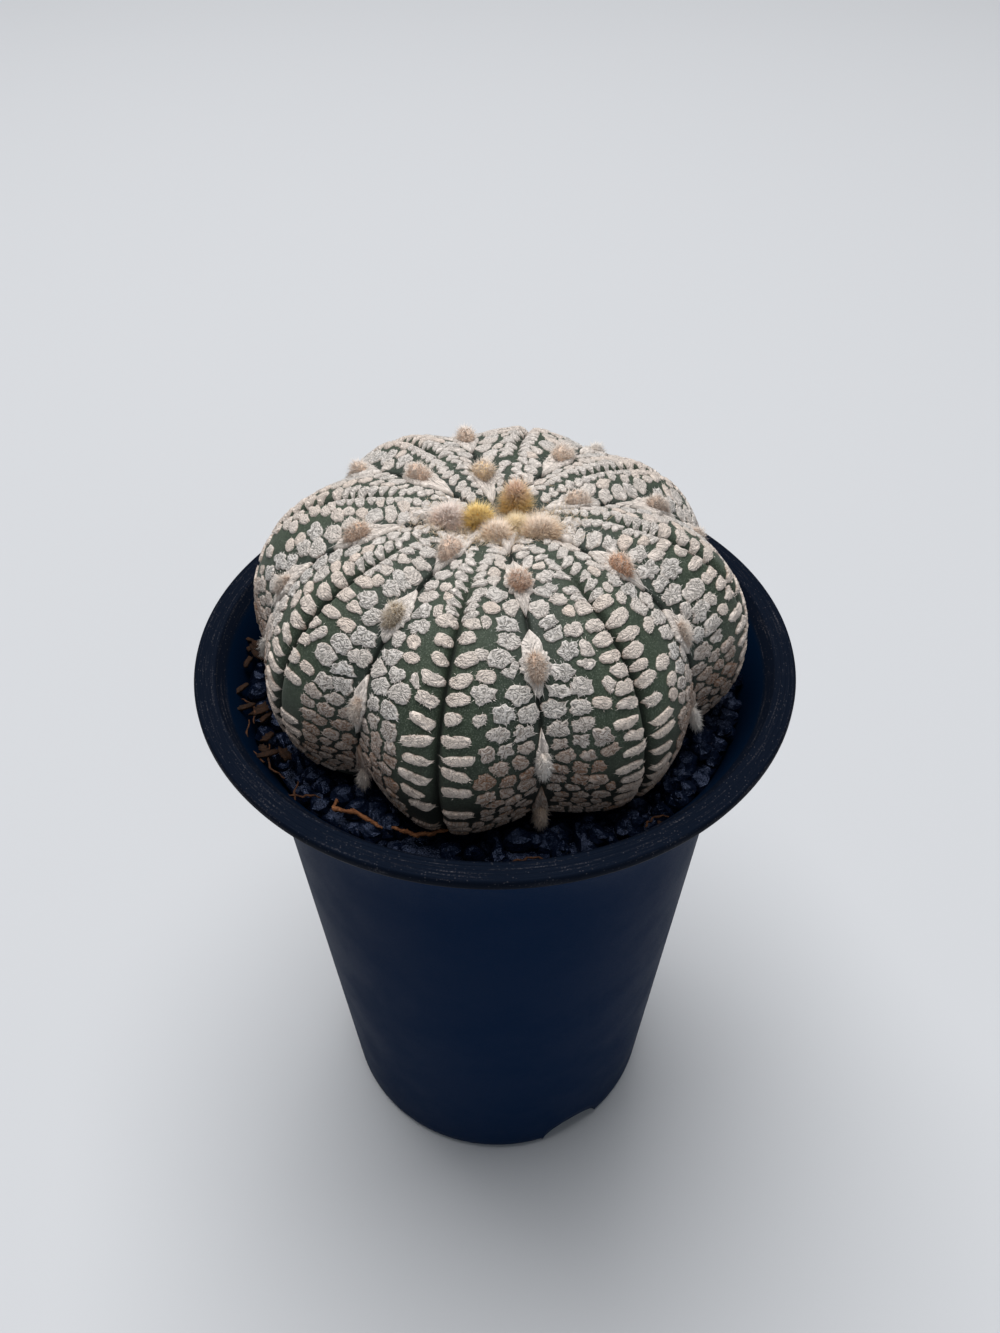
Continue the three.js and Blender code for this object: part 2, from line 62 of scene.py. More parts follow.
# The eight woolly rows: azimuth, depth of the valley along it, and how far the rib after it swells.
ROW_AZIMUTHS = np.array([10, 56, 102, 146, 193, 233, 283, 326], float)
ROW_DEPTHS = np.array([0.9, 1.35, 1.35, 1.0, 1.0, 1.0, 1.0, 1.3])
RIB_SWELLS = np.array([-0.1, 0.2, -0.6, -0.2, 0.8, 0.4, -0.5, 0.5])

# Woolly tufts on each row: distance from the crown, and the colour of the wool.
ROW_TUFTS = [
    [(17.6, "russet"), (31.9, "fawn"), (48, "white"), (60, "umber")],
    [(21.7, "rust"), (37, "sand"), (55.5, "white")],
    [(12.4, "peach"), (26.5, "sand"), (38.5, "sand"), (52, "white")],
    [(18.9, "peach"), (32.5, "white"), (46.5, "sand")],
    [(10.0, "gold_peach"), (24, "peach"), (38, "sand"), (52, "white")],
    [(15.6, "tan"), (30, "peach"), (43.5, "white"), (57, "umber")],
    [(21.5, "buff"), (36.8, "sand"), (51, "white")],
    [(12.3, "tan"), (26.5, "olive"), (43.3, "sand"), (59.5, "sand")],
]

# Tufts packed in the crown: x and y from its middle, half width, half depth, height, colour.
CROWN_TUFTS = [
    (-2.9, -3.1, 1.7, 1.7, 3.1, "gold"),
    (-7.3, -2.8, 2.1, 2.1, 2.7, "pink"),
    (2.7, 1.7, 1.65, 1.8, 3.8, "amber"),
    (0.1, -6.1, 1.9, 1.6, 2.1, "apricot"),
    (2.9, -4.3, 1.2, 1.4, 1.6, "straw"),
    (6.3, -5.7, 2.3, 1.6, 2.1, "apricot"),
]

# Felt spearheads under the crown tufts: azimuth, arc, half width, run inwards, run outwards.
CROWN_SPEARS = [
    (276, 8.2, 1.9, 3.0, 4.6),
    (58, 7.4, 1.8, 3.0, 6.0),
    (140, 4.4, 1.9, 2.0, 4.8),
    (330, 5.6, 1.8, 2.0, 3.6),
    (10, 6.6, 2.0, 2.0, 3.2),
]

# Wool colours: near the root, at the tip of a hair, and at the tips on top of a tuft.
WOOL_COLOURS = {
    "russet": ((0.68, 0.39, 0.24), (0.93, 0.73, 0.60), (0.99, 0.92, 0.86)),
    "rust": ((0.68, 0.38, 0.23), (0.95, 0.76, 0.63), (0.98, 0.87, 0.78)),
    "olive": ((0.52, 0.41, 0.26), (0.78, 0.69, 0.59), (0.88, 0.81, 0.73)),
    "umber": ((0.40, 0.26, 0.17), (0.68, 0.52, 0.40), (0.76, 0.62, 0.51)),
    "fawn": ((0.62, 0.43, 0.31), (0.85, 0.72, 0.62), (0.91, 0.81, 0.73)),
    "buff": ((0.80, 0.57, 0.42), (0.95, 0.82, 0.73), (0.97, 0.90, 0.84)),
    "tan": ((0.93, 0.70, 0.55), (0.99, 0.88, 0.79), (0.99, 0.93, 0.88)),
    "sand": ((0.66, 0.51, 0.41), (0.87, 0.77, 0.70), (0.92, 0.85, 0.79)),
    "white": ((0.86, 0.78, 0.71), (0.96, 0.93, 0.90), (0.98, 0.96, 0.94)),
    "peach": ((0.96, 0.76, 0.61), (0.99, 0.91, 0.84), (0.99, 0.94, 0.91)),
    "gold_peach": ((0.96, 0.72, 0.44), (0.99, 0.87, 0.78), (0.99, 0.92, 0.89)),
    "gold": ((0.94, 0.53, 0.07), (0.97, 0.70, 0.22), (0.97, 0.76, 0.33)),
    "pink": ((0.97, 0.64, 0.49), (0.99, 0.88, 0.80), (1.0, 0.94, 0.90)),
    "amber": ((0.99, 0.60, 0.14), (0.99, 0.75, 0.34), (0.76, 0.56, 0.51)),
    "apricot": ((0.99, 0.64, 0.34), (0.99, 0.83, 0.65), (1.0, 0.90, 0.81)),
    "straw": ((0.93, 0.66, 0.24), (0.95, 0.74, 0.40), (0.93, 0.78, 0.55)),
}

# Dry root fibres: the points they pass through, as azimuth and radius.
LONG_FIBRE = [(-37.5, 39.4), (-36.0, 40.8), (-32.5, 39.6), (-28.5, 39.9), (-24.5, 40.0)]
SHORT_FIBRE = [(-22.5, 39.7), (-18.5, 39.6), (-14.5, 39.1), (-10.5, 37.4)]
THIN_FIBRES = [
    [(2.3, 43.3), (5.9, 42.6), (9.8, 42.9)],
    [(-46.4, 44.2), (-43.5, 42.0), (-40.8, 40.4)],
    [(-47.5, 41.0), (-45.0, 43.0), (-41.5, 45.2), (-38.5, 45.4)],
    [(-70, 42.5), (-63, 44.0), (-57, 43.0)],
    [(-61, 41.0), (-55, 42.8), (-50.5, 42.0)],
    [(-77, 43.0), (-74, 41.2), (-69, 41.8)],
    [(31, 43.0), (33.5, 42.2), (37, 43.1)],
    [(150, 42.5), (156, 43.3), (161, 42.2)],
]

# Bark chips: azimuth, radius, length, width, turn.
BARK_CHIPS = [
    (-72, 40.2, 3.4, 2.0, 20),
    (-63, 40.6, 2.6, 1.8, 75),
    (-56, 39.8, 3.0, 1.6, 130),
]

# Small husks of bark, and how many of them lie at the left.
BARK_HUSKS, HUSKS_AT_LEFT = 14, 11

# Layers of grit: step between circles, step along a circle, size, height over the level.
GRIT_LAYERS = [(3.0, 3.15, 1.0, 1.0), (2.9, 3.15, 1.0, -0.6), (3.3, 3.4, 0.42, 2.2)]

# Lamps: name, place, target, width of the square, share of the key light's power, tint.
LAMPS = [
    ("overhead_light", (-160, 480, 2280), (0, 0, 120), 1900, 1.0, (1.0, 0.98, 0.96)),
    ("front_light", (260, -620, 420), (0, 0, 90), 420, 0.008, (0.88, 0.94, 1.0)),
]

# Where the camera stands; its angles and lens are settings.
CAMERA_PLACE = (0.83, -139.2, 244.3)


# ------------------------------------------------------------------ settings


def length(name, description, size, low=0.0, high=500.0):
    """A length setting, given in millimetres and kept in metres."""
    return bpy.props.FloatProperty(
        name=name,
        description=description,
        default=size * MM,
        min=low * MM,
        max=high * MM,
        unit="LENGTH",
        precision=4,
    )


def colour(name, description, value):
    """A colour setting."""
    return bpy.props.FloatVectorProperty(
        name=name,
        description=description,
        default=value,
        min=0.0,
        max=1.0,
        size=3,
        subtype="COLOR",
    )


def number(name, description, value, low, high):
    """A setting without a unit."""
    return bpy.props.FloatProperty(
        name=name, description=description, default=value, min=low, max=high
    )


class PotSettings(bpy.types.PropertyGroup):
    """Sizes and finish of the pot"""

    height: length("Height", "Height of the pot", 121)
    rim_radius: length("Rim radius", "Outer radius of the lip", 50)
    base_radius: length("Base radius", "Outer radius at the foot", 33.6)
    wall: length("Wall", "Thickness of the wall", 1.2)
    lip_depth: length("Lip depth", "Height of the lip's outer edge", 1.9)
    flare_start: length("Flare start", "Height where the wall begins to curve out", 95)
    arch_height: length("Drain arch height", "Height of a drainage arch at the foot", 7)
    arch_width: length("Drain arch width", "Width of a drainage arch", 14)
    # The default is navy: near-black plastic with a painted blue reflection in its colour.
    plastic: colour("Plastic", "Colour of the plastic's outside", (0.0010, 0.0120, 0.0430))
    gloss: number("Roughness", "Roughness of the plastic", 0.46, 0, 1)


class PlantSettings(bpy.types.PropertyGroup):
    """Sizes and colours of the plant's body"""

    radius: length("Radius", "Radius of the smooth globe", 40.3)
    upper_half: length("Upper half", "Height of the half above the waist", 23.2)
    lower_half: length("Lower half", "Height of the half below the waist", 27.4)
    crown_dimple: length("Crown dimple", "Depth of the hollow in the crown", 3)
    crease_depth: length("Crease depth", "Depth of the fold along a rib", 1.1)
    skin: colour("Skin", "Colour of the bare skin", (0.020, 0.033, 0.019))
    skin_pale: colour("Pale skin", "Colour of the bloom on the skin", (0.052, 0.074, 0.048))


class FleckSettings(bpy.types.PropertyGroup):
    """Sizes and colours of the felt flecks"""

    height: length("Height", "How far a fleck stands up", 0.36)
    gap: length("Gap", "Bare skin between two crowded flecks", 0.30)
    pitch: length("Pitch", "Distance between flecks where they are crowded", 3.6)
    first_arc: length("First arc", "Distance from the crown where flecks begin", 5.5)
    last_arc: length("Last arc", "Distance from the crown where flecks end", 64)
    cream: colour("Cream felt", "Colour of smooth flecks beside a crease", (0.88, 0.755, 0.665))
    grey: colour("Grey felt", "Colour of fibrous flecks beside a row", (0.80, 0.77, 0.745))
    stain: colour("Stain", "Colour of the old flecks near the soil", (0.225, 0.120, 0.068))


class GritSettings(bpy.types.PropertyGroup):
    """Size and colour of the grit"""

    level: length("Level", "Height of the bedding plane of the top grains", 113.2)
    grain: length("Grain", "Radius of a grain", 1.75)
    stone: colour("Stone", "Colour of the grit", (0.0012, 0.0040, 0.0135))
    root: colour("Dry root", "Colour of the dry root fibres", (0.25, 0.105, 0.046))
    bark: colour("Bark", "Colour of the bark chips", (0.030, 0.0125, 0.0055))


class StageSettings(bpy.types.PropertyGroup):
    """Floor, light and camera"""

    floor: colour("Floor", "Colour of the floor", (0.52, 0.54, 0.57))
    key_power: number("Key light", "Power of the overhead light in watts", 77.0, 0, 500)
    sky: number("Sky", "Strength of the light from all round", 0.14, 0, 10)
    pitch: number("Camera pitch", "Camera's angle below the horizon in degrees", 42.98, 0, 90)
    roll: number("Camera roll", "Camera's turn about its own axis in degrees", -0.17, -10, 10)
    lens: bpy.props.FloatProperty(
        name="Lens", description="Focal length", default=29.707, unit="CAMERA"
    )


class CactusSettings(bpy.types.PropertyGroup):
    """Everything that a user may change"""

    pot: bpy.props.PointerProperty(type=PotSettings)
    plant: bpy.props.PointerProperty(type=PlantSettings)
    flecks: bpy.props.PointerProperty(type=FleckSettings)
    grit: bpy.props.PointerProperty(type=GritSettings)
    stage: bpy.props.PointerProperty(type=StageSettings)


def settings():
    """The settings of the open scene."""
    return bpy.context.scene.star_cactus


# ------------------------------------------------------------------ meshes


def unit(vectors):
    """The same directions at length one."""
    return vectors / np.maximum(np.linalg.norm(vectors, axis=-1, keepdims=True), 1e-9)


def ramp(value, start, end):
    """0 up to `start`, 1 from `end`, straight between; `end` may be the lower one."""
    return np.clip((value - start) / (end - start), 0, 1)


def turns(sides):
    """Angles of equal steps round a circle."""
    return np.arange(sides) * 2 * np.pi / sides


def around(azimuth, radius, height):
    """Points on circles about Z: (r sin a, -r cos a, h)."""
    turn = np.radians(azimuth)
    parts = np.broadcast_arrays(radius * np.sin(turn), -radius * np.cos(turn), height)
    return np.stack(parts, -1)


def globe_grid(polar, turn):
    """Directions of a globe's rings: (sin p cos t, sin p sin t, cos p)."""
    sine, cosine = np.sin(polar)[:, None], np.cos(polar)[:, None]
    parts = np.broadcast_arrays(sine * np.cos(turn), sine * np.sin(turn), cosine)
    return np.stack(parts, -1).reshape(-1, 3)


def grid_faces(rows, columns, wrap=True):
    """Quads of a grid of points, its columns joined in a ring if wrap is set."""
    row = np.arange(rows - 1)[:, None]
    column = np.arange(columns if wrap else columns - 1)[None, :]
    after = (column + 1) % columns
    corners = [row * columns + column, (row + 1) * columns + column,
               (row + 1) * columns + after, row * columns + after]
    return np.stack(corners, -1).reshape(-1, 4)


def fan(ring, pole):
    """Triangles from a ring of indices to one index."""
    return np.stack([ring, np.full(len(ring), pole), np.roll(ring, -1)], -1)


def closed_faces(rows, columns, turned=False):
    """Faces of a grid of rings whose first and last ring are closed by the two points that
    follow the grid. `turned` makes them face the other way."""
    ring, first_pole = np.arange(columns), rows * columns
    faces = [
        grid_faces(rows, columns),
        fan(ring, first_pole)[:, ::-1],
        fan(first_pole - columns + ring, first_pole + 1),
    ]
    return [face[:, ::-1] for face in faces] if turned else faces


def repeated(faces, count, size):
    """The same faces for each of several stamps of `size` points."""
    faces = np.asarray(faces)
    shift = (np.arange(count) * size).reshape(-1, 1, 1)
    return (faces[None] + shift).reshape(-1, faces.shape[1])


def pad_faces(rings, sides, count):
    """Faces of several pads. Each is a stack of rings closed above by the point that follows
    them and underneath by one face."""
    ring, middle = np.arange(sides), rings * sides
    faces = [
        grid_faces(rings, sides)[:, ::-1],
        fan(middle - sides + ring, middle)[:, ::-1],
        ring[None],
    ]
    return [repeated(face, count, middle + 1) for face in faces]


def build(name, points, faces, material, node=None, smooth=True, values=None, uv=None):
    """One piece from points in millimetres and a list of arrays of faces. It replaces a node
    where one is named, and carries a number or a colour per point for each of `values`."""
    mesh = bpy.data.meshes.new(name)
    polygons = [face for group in faces for face in np.asarray(group).tolist()]
    mesh.from_pydata((np.asarray(points) * MM).tolist(), [], polygons)
    if smooth:
        mesh.shade_smooth()
    for label, value in (values or {}).items():
        value = np.asarray(value, np.float32)
        kind, field = "FLOAT", "value"
        if value.ndim == 2:
            kind, field = "FLOAT_COLOR", "color"
            value = np.append(value, np.ones((len(value), 1), np.float32), 1)
        mesh.attributes.new(label, kind, "POINT").data.foreach_set(field, value.ravel())
    if uv is not None:
        corner = np.empty(len(mesh.loops), np.int32)
        mesh.loops.foreach_get("vertex_index", corner)
        layer = mesh.uv_layers.new(name="surface")
        layer.data.foreach_set("uv", np.asarray(uv, np.float32)[corner].ravel())
    mesh.materials.append(material)
    piece = bpy.data.objects.new(name, mesh)
    bpy.context.scene.collection.objects.link(piece)
    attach(piece, BODY)
    if node:
        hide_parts(node)


def spikes(roots, tips, width):
    """Closed hairs: a thin three-sided spike from each root to its tip. Returns points, faces
    and, for each point, how far along its hair it is."""
    count = len(roots)
    axis = unit(tips - roots)
    helper = np.where(np.abs(axis[:, 2:3]) < 0.8, [[0.0, 0.0, 1.0]], [[1.0, 0.0, 0.0]])
    side = unit(np.cross(axis, helper))
    other = np.cross(axis, side)
    turn = turns(3)[:, None]
    ring = side[:, None] * np.cos(turn) + other[:, None] * np.sin(turn)
    points = np.concatenate([roots[:, None] + ring * width / 2, tips[:, None]], 1)
    faces = repeated([[0, 1, 3], [1, 2, 3], [2, 0, 3], [2, 1, 0]], count, SPIKE_POINTS)
    return points.reshape(-1, 3), [faces], np.tile([0, 0, 0, 1], count)


# ------------------------------------------------------------------ the plant's skin


class Skin:
    """The ribbed globe. Its meridian is a squared-off half ellipse over a plain one, with a
    dimple in the crown. Across each rib the skin bulges as a sine from one woolly row to the
    next, and a narrow fold runs along the middle of the rib."""

    shoulder_power = 0.64
    dimple_radius = 9.0
    valley_side = 3.5
    valley_top = 1.5
    valley_power = 1.15
    crease_half_width = 0.8
    slope_step = 0.1
    crown_shift = (0.25, -1.5)
    centre = np.array([0.3, -0.1, 126.5])

    def __init__(self):
        plant = settings().plant
        self.radius = plant.radius / MM
        self.upper = plant.upper_half / MM
        self.lower = plant.lower_half / MM
        self.dimple = plant.crown_dimple / MM
        self.crease = plant.crease_depth / MM
        self.angles = np.arange(0, 172, 0.02)
        radius, height = self.meridian(self.angles)
        steps = np.hypot(np.diff(radius), np.diff(height))
        self.arcs = np.concatenate([[0], np.cumsum(steps)])

    def meridian(self, angle):
        """Radius and height of the smooth globe at a polar angle in degrees."""
        turn = np.radians(angle)
        upper = angle < 90
        sine = np.clip(np.sin(turn), 0, None)
        radius = self.radius * np.where(upper, sine ** self.shoulder_power, sine)
        half = np.where(upper, self.upper, self.lower)
        dimple = self.dimple * np.exp(-((radius / self.dimple_radius) ** 2))
        return radius, half * np.cos(turn) - dimple

    def ring_radius(self, arc):
        """Radius of the smooth globe at a distance from the crown."""
        return self.meridian(np.interp(arc, self.arcs, self.angles))[0]

    def point(self, azimuth, arc, lift=0.0):
        """Points of the skin raised by `lift` along the meridian's normal."""
        azimuth, arc, lift = np.broadcast_arrays(azimuth, arc, lift)
        angle = np.interp(arc, self.arcs, self.angles)
        radius, height = self.meridian(angle)
        ahead = self.meridian(angle + self.slope_step)
        behind = self.meridian(np.maximum(angle - self.slope_step, 0))
        along = unit(np.stack([ahead[0] - behind[0], ahead[1] - behind[1]], -1))
        turned = (azimuth - ROW_AZIMUTHS[0]) % 360
        starts = np.append(ROW_AZIMUTHS - ROW_AZIMUTHS[0], 360)
        rib = np.clip(np.searchsorted(starts, turned, side="right") - 1, 0, 7)
        span = starts[rib + 1] - starts[rib]
        across = (turned - starts[rib]) / span
        share = radius / self.radius
        upper = angle < 90
        bulge = np.clip(np.sin(np.pi * across), 0, None) ** self.valley_power
        next_rib = (rib + 1) % 8
        depth = ROW_DEPTHS[rib] * (1 - across) + ROW_DEPTHS[next_rib] * across
        side = np.where(upper, share ** 4, 1)
        valley = depth * (self.valley_top + (self.valley_side - self.valley_top) * side)
        fade = np.minimum(share / 0.35, 1)
        swell = RIB_SWELLS[rib] * bulge * np.where(upper, share ** 3, 1)
        from_crease = (across - 0.5) * np.radians(span) * radius
        crease_fade = ramp(share, 0.25, 0.55)
        fold = np.exp(-((from_crease / self.crease_half_width) ** 2))
        offset = lift + swell - valley * (1 - bulge) * fade - self.crease * crease_fade * fold
        shift = np.where(upper, np.cos(np.radians(angle)) ** 2, 0)
        points = around(azimuth, radius - offset * along[..., 1], height + offset * along[..., 0])
        points[..., 0] += self.crown_shift[0] * shift
        points[..., 1] += self.crown_shift[1] * shift
        return points + self.centre


def half_ribs():
    """The sixteen half ribs: row azimuth, which way it is swept (+1 or -1), how far to the
    crease in degrees, and the tufts of its row."""
    halves = []
    for row in range(8):
        after = (row + 1) % 8
        reach = ((ROW_AZIMUTHS[after] - ROW_AZIMUTHS[row]) % 360) / 2
        halves.append((ROW_AZIMUTHS[row], 1, reach, ROW_TUFTS[row]))
        halves.append((ROW_AZIMUTHS[after], -1, reach, ROW_TUFTS[after]))
    return halves


def skin_piece(skin, material):
    """Skin grid: columns crowd towards rows and creases by u = t - k sin(2 pi t) / 2 pi, and
    each row and crease is cut again by a sharp line, exp(-(distance / width)^2)."""
    columns_each, crowding = 26, 0.82
    t = np.arange(columns_each) / columns_each
    u = t - crowding * np.sin(2 * np.pi * t) / (2 * np.pi)
    azimuths, from_row, reaches = [], [], []
    for azimuth, way, reach, _ in half_ribs():
        part = u if way > 0 else 1 - u
        azimuths.append(azimuth + way * part * reach)
        from_row.append(part)
        reaches.append(np.full(columns_each, reach))
    azimuth, part, reach = (np.concatenate(v) for v in (azimuths, from_row, reaches))
    arc = np.concatenate([np.linspace(0.4, 64, 146), np.linspace(67, skin.arcs[-1] - 0.5, 9)])
    ring = skin.ring_radius(arc)[:, None]
    to_crease = np.radians((1 - part) * reach) * ring
    to_row = np.radians(part * reach) * ring
    fade = ramp(arc[:, None], 16, 30)
    cut = 0.55 * np.exp(-((to_crease / 0.28) ** 2)) * fade
    cut = cut + 0.5 * np.exp(-((to_row / 0.3) ** 2)) * ramp(arc[:, None], 4, 9)
    points = skin.point(azimuth[None, :], arc[:, None], -cut).reshape(-1, 3)
    bottom = skin.centre + [0, 0, -58.0]
    every = np.concatenate([points, [skin.point(0.0, 0.0), bottom]])
    # Painted shade in the skin's colour: groove darkens the creases and row lines, low darkens the
    # skin towards the soil, and flank darkens the valleys along the rows and also places the
    # powder.
    shade = np.maximum(np.exp(-((to_crease / 0.5) ** 2)) * fade, np.exp(-((to_row / 0.45) ** 2)))
    values = {
        "flank": np.append(np.exp(-(to_row / 5.0) ** 2), [1, 1]),
        "groove": np.append(shade, [0, 0]),
        "low": np.append(np.repeat(ramp(arc, 45, 56), len(azimuth)), [0, 1]),
    }
    build("cactus_skin", every, closed_faces(len(arc), len(azimuth)), material,
          node="cactus", values=values)


# ------------------------------------------------------------------ felt

# How the flecks change with the distance from the crown: distances, and the values there.
FLECK_SPACING = ([6, 14, 24, 38, 46, 57], [0.56, 0.68, 0.84, 0.96, 0.80, 0.78])
ROOM_BY_CREASE = ([6, 24, 27, 42, 44, 56], [1.5, 2.6, 3.2, 3.6, 6.6, 5.4])
CROWDED_WIDTH = ([8, 20, 32, 42, 52, 56], [3.0, 3.8, 5.8, 8.0, 9.6, 30])
LOOSE_SHARE = ([20, 34, 42, 53, 57], [1.0, 0.85, 0.5, 0.45, 1])
LINE_SPACING = ([50, 56], [0.86, 0.62])
YOUNG_TONE = ([12, 30], [0.25, 0])
SPEAR_HALF_WIDTH = ([36, 47], [2.2, 1.3])
BROWN_EDGE = ([26, 40], [0.12, 0.5])

# Half lengths of crowded and loose flecks, across and down, and where crowded ones grow flat.
CROWDED_ACROSS, CROWDED_DOWN = (1.75, 2.6), (1.5, 2.2)
LOOSE_ACROSS, LOOSE_DOWN = (1.1, 1.9), (0.8, 1.2)
FLAT_FROM, FLAT_ACROSS, FLAT_DOWN = 54, 1.2, 0.6

# The chain along a crease: distance from the crown where a zone ends, step, half length across
# and half length down (each drawn between two values, or one fixed value), squareness, tone
# and turn.
CHAIN_ZONES = [
    (25, 1.55, (1.3, 2.1), (0.74,), 2.2, 0.35, 0.55),
    (42, 2.75, (1.3, 2.3), (0.8, 1.15), 2.6, 0.85, 0.2),
    (56, 2.7, (2.2, 3.4), (0.66, 0.84), 3.4, 1.0, 0.0),
    (math.inf, 2.1, (2.2, 3.4), (0.72,), 2.8, 0.9, 0.0),
]
YOUNG_CHAIN, OLD_CHAIN = CHAIN_ZONES[0][0], CHAIN_ZONES[1][0]
FAR = 99  # farther than any fleck reaches

# Rings of a pad from its foot inwards: share of the outline and share of the height.
FLECK_RINGS = [(1.0, -0.5), (0.94, 0.75), (0.78, 1.0)]
SPEAR_RINGS = [(1.0, -0.3), (0.97, 0.45), (0.85, 0.62), (0.65, 0.72), (0.4, 0.80), (0.18, 0.84)]


def superellipse(theta, half_across, half_down, power):
    """Radius at angle theta of |x/a|^p + |y/b|^p = 1."""
    x = np.abs(np.cos(theta)) / half_across
    y = np.abs(np.sin(theta)) / half_down
    return (x ** power + y ** power) ** (-1 / power)


def ring_stack(rings, outline, theta):
    """Rings of pads with given outlines: their offsets across and down, and the shares of the
    outline and of the height."""
    share, rise = (np.array(part)[None, :, None] for part in zip(*rings))
    reach = outline[:, None] * share
    return reach * np.cos(theta), reach * np.sin(theta), share, rise


def on_rings(values, sides, middle):
    """Values of one pad's points: one for each ring and one for its middle."""
    return np.append(np.repeat(values, sides), middle)


def felt_map(random, across, down):
    """Map of pads: the offsets of their points, zero in the middle, shifted at random."""
    count = len(across)
    shift = random.uniform(0, 40, (count, 1, 2))
    flat = [np.append(part.reshape(count, -1), np.zeros((count, 1)), 1) for part in (across, down)]
    return (np.stack(flat, -1) + shift).reshape(-1, 2)


def patches(skin, azimuth, arc, across, down, lift, middle):
    """Closed pads lying on the skin. Each pad is a stack of rings, given as offsets along the
    azimuth and down the meridian, closed by a point in the middle and one face underneath.
    Returns points and faces."""
    count, rings, sides = across.shape
    area = (across * np.roll(down, -1, -1) - np.roll(across, -1, -1) * down)[:, 0].sum(-1)
    turned = (area > 0)[:, None, None]
    across, down, lift = (np.where(turned, part[..., ::-1], part) for part in (across, down, lift))
    here = arc[:, None, None] + down
    bearing = azimuth[:, None, None] + np.degrees(across / np.maximum(skin.ring_radius(here), 1))
    points = skin.point(bearing, here, lift).reshape(count, -1, 3)
    tops = skin.point(azimuth + np.degrees(across[:, -1].mean(-1) / skin.ring_radius(arc)),
                      arc + down[:, -1].mean(-1), middle)
    every = np.concatenate([points, tops[:, None]], 1).reshape(-1, 3)
    return every, pad_faces(rings, sides, count)


def felt_hairs(name, material, ends, width, tone, stain):
    """Hairs from one list of ends to the other, with the colours of the pads they lie on."""
    hair, faces, _ = spikes(*(end.reshape(-1, 3) for end in ends), width)
    each = len(hair) // len(tone)
    values = {
        "tone": np.repeat(tone, each), "stain": np.repeat(stain, each), "rim": np.ones(len(hair)),
    }
    build(name, hair, faces, material, values=values, uv=np.zeros((len(hair), 2)))


def spear_half_width(arc):
    """Half width of a spearhead by its distance from the crown."""
    return np.interp(arc, *SPEAR_HALF_WIDTH)


def spear_runs(row, arc):
    """How far a spearhead runs towards the crown and away from it, by its place on a row."""
    turn = 2.4 * arc + 1.7 * row + 2.5
    return 6.1 + 0.9 * np.sin(turn), 4.8 + 0.7 * np.cos(turn)


def spear_width(row, arc, tufts):
    """Half width of the nearest spearhead of a row at a distance from the crown."""
    wide = 0.0
    for tuft, _ in tufts:
        up, below = spear_runs(row, tuft)
        run = up if arc < tuft else below
        wide = max(wide, spear_half_width(tuft) * (1 - abs(arc - tuft) / run))
    return wide


def fleck_sites(skin, half, flecks, random):
    """Places of the flecks of one half rib, as columns: x from the row, arc, half length across,
    half length down, turn, squareness, height, tone (0 fibrous grey, 1 smooth cream), chain.
    Crowded flecks lie beside the row and bend round its spearheads, loose ones lie in the
    middle, and a chain of short strokes or long bars follows the crease."""
    row, _, reach, tufts = half
    first, last = flecks.first_arc / MM, flecks.last_arc / MM
    pitch = flecks.pitch / MM
    sites = []
    arc = first + random.uniform(0.5, 2.0)
    staggered = False
    while arc < last:
        width = np.radians(reach) * skin.ring_radius(arc)
        spacing = pitch * np.interp(arc, *FLECK_SPACING)
        size = spacing / pitch
        flat = arc > FLAT_FROM
        x = 0.25 + spear_width(row, arc, tufts) + spacing * (0.78 if staggered else 0.5)
        while x < width - np.interp(arc, *ROOM_BY_CREASE):
            crowded = x < np.interp(arc, *CROWDED_WIDTH)
            if crowded or random.random() < np.interp(arc, *LOOSE_SHARE):
                if crowded:
                    a = random.uniform(*CROWDED_ACROSS) * size * (FLAT_ACROSS if flat else 1)
                    b = random.uniform(*CROWDED_DOWN) * size * (FLAT_DOWN if flat else 1)
                    tone = random.uniform(0.0, 0.4) + np.interp(arc, *YOUNG_TONE)
                else:
                    a = random.uniform(*LOOSE_ACROSS) * (0.8 + 0.2 * size)
                    b = random.uniform(*LOOSE_DOWN) * (0.8 + 0.2 * size)
                    tone = random.uniform(0.45, 1.0)
                sites.append((
                    x + random.normal(0, 0.34) * size, arc + random.normal(0, 0.42) * size, a, b,
                    random.normal(0.45 if arc < 40 else 0.15, 0.35), 2.2,
                    random.uniform(0.7, 1.1), tone, 0,
                ))
            x += spacing * (1.0 if crowded else random.uniform(0.9, 1.15))
        arc += spacing * np.interp(arc, *LINE_SPACING) * random.uniform(0.92, 1.08)
        staggered = not staggered
    arc = first + random.uniform(0.3, 1.2)
    while arc < last:
        width = np.radians(reach) * skin.ring_radius(arc)
        zone = next(zone for zone in CHAIN_ZONES if arc < zone[0])
        _, step, across, down, power, tone, turn = zone
        a = min(random.uniform(*across), width * 0.5)
        b = random.uniform(*down) if len(down) > 1 else down[0]
        if random.random() < (0.97 if arc < OLD_CHAIN else 0.84) and width > 1.5:
            from_crease = random.uniform(0.0, 0.12 if arc < YOUNG_CHAIN else 0.35)
            sites.append((
                width - a * np.cos(turn) - from_crease, arc, a, b,
                turn + random.normal(0, 0.14), power,
                random.uniform(0.95, 1.25), tone * random.uniform(0.7, 1.0), 1,
            ))
        arc += step * random.uniform(0.78, 1.25)
    return np.array(sites)


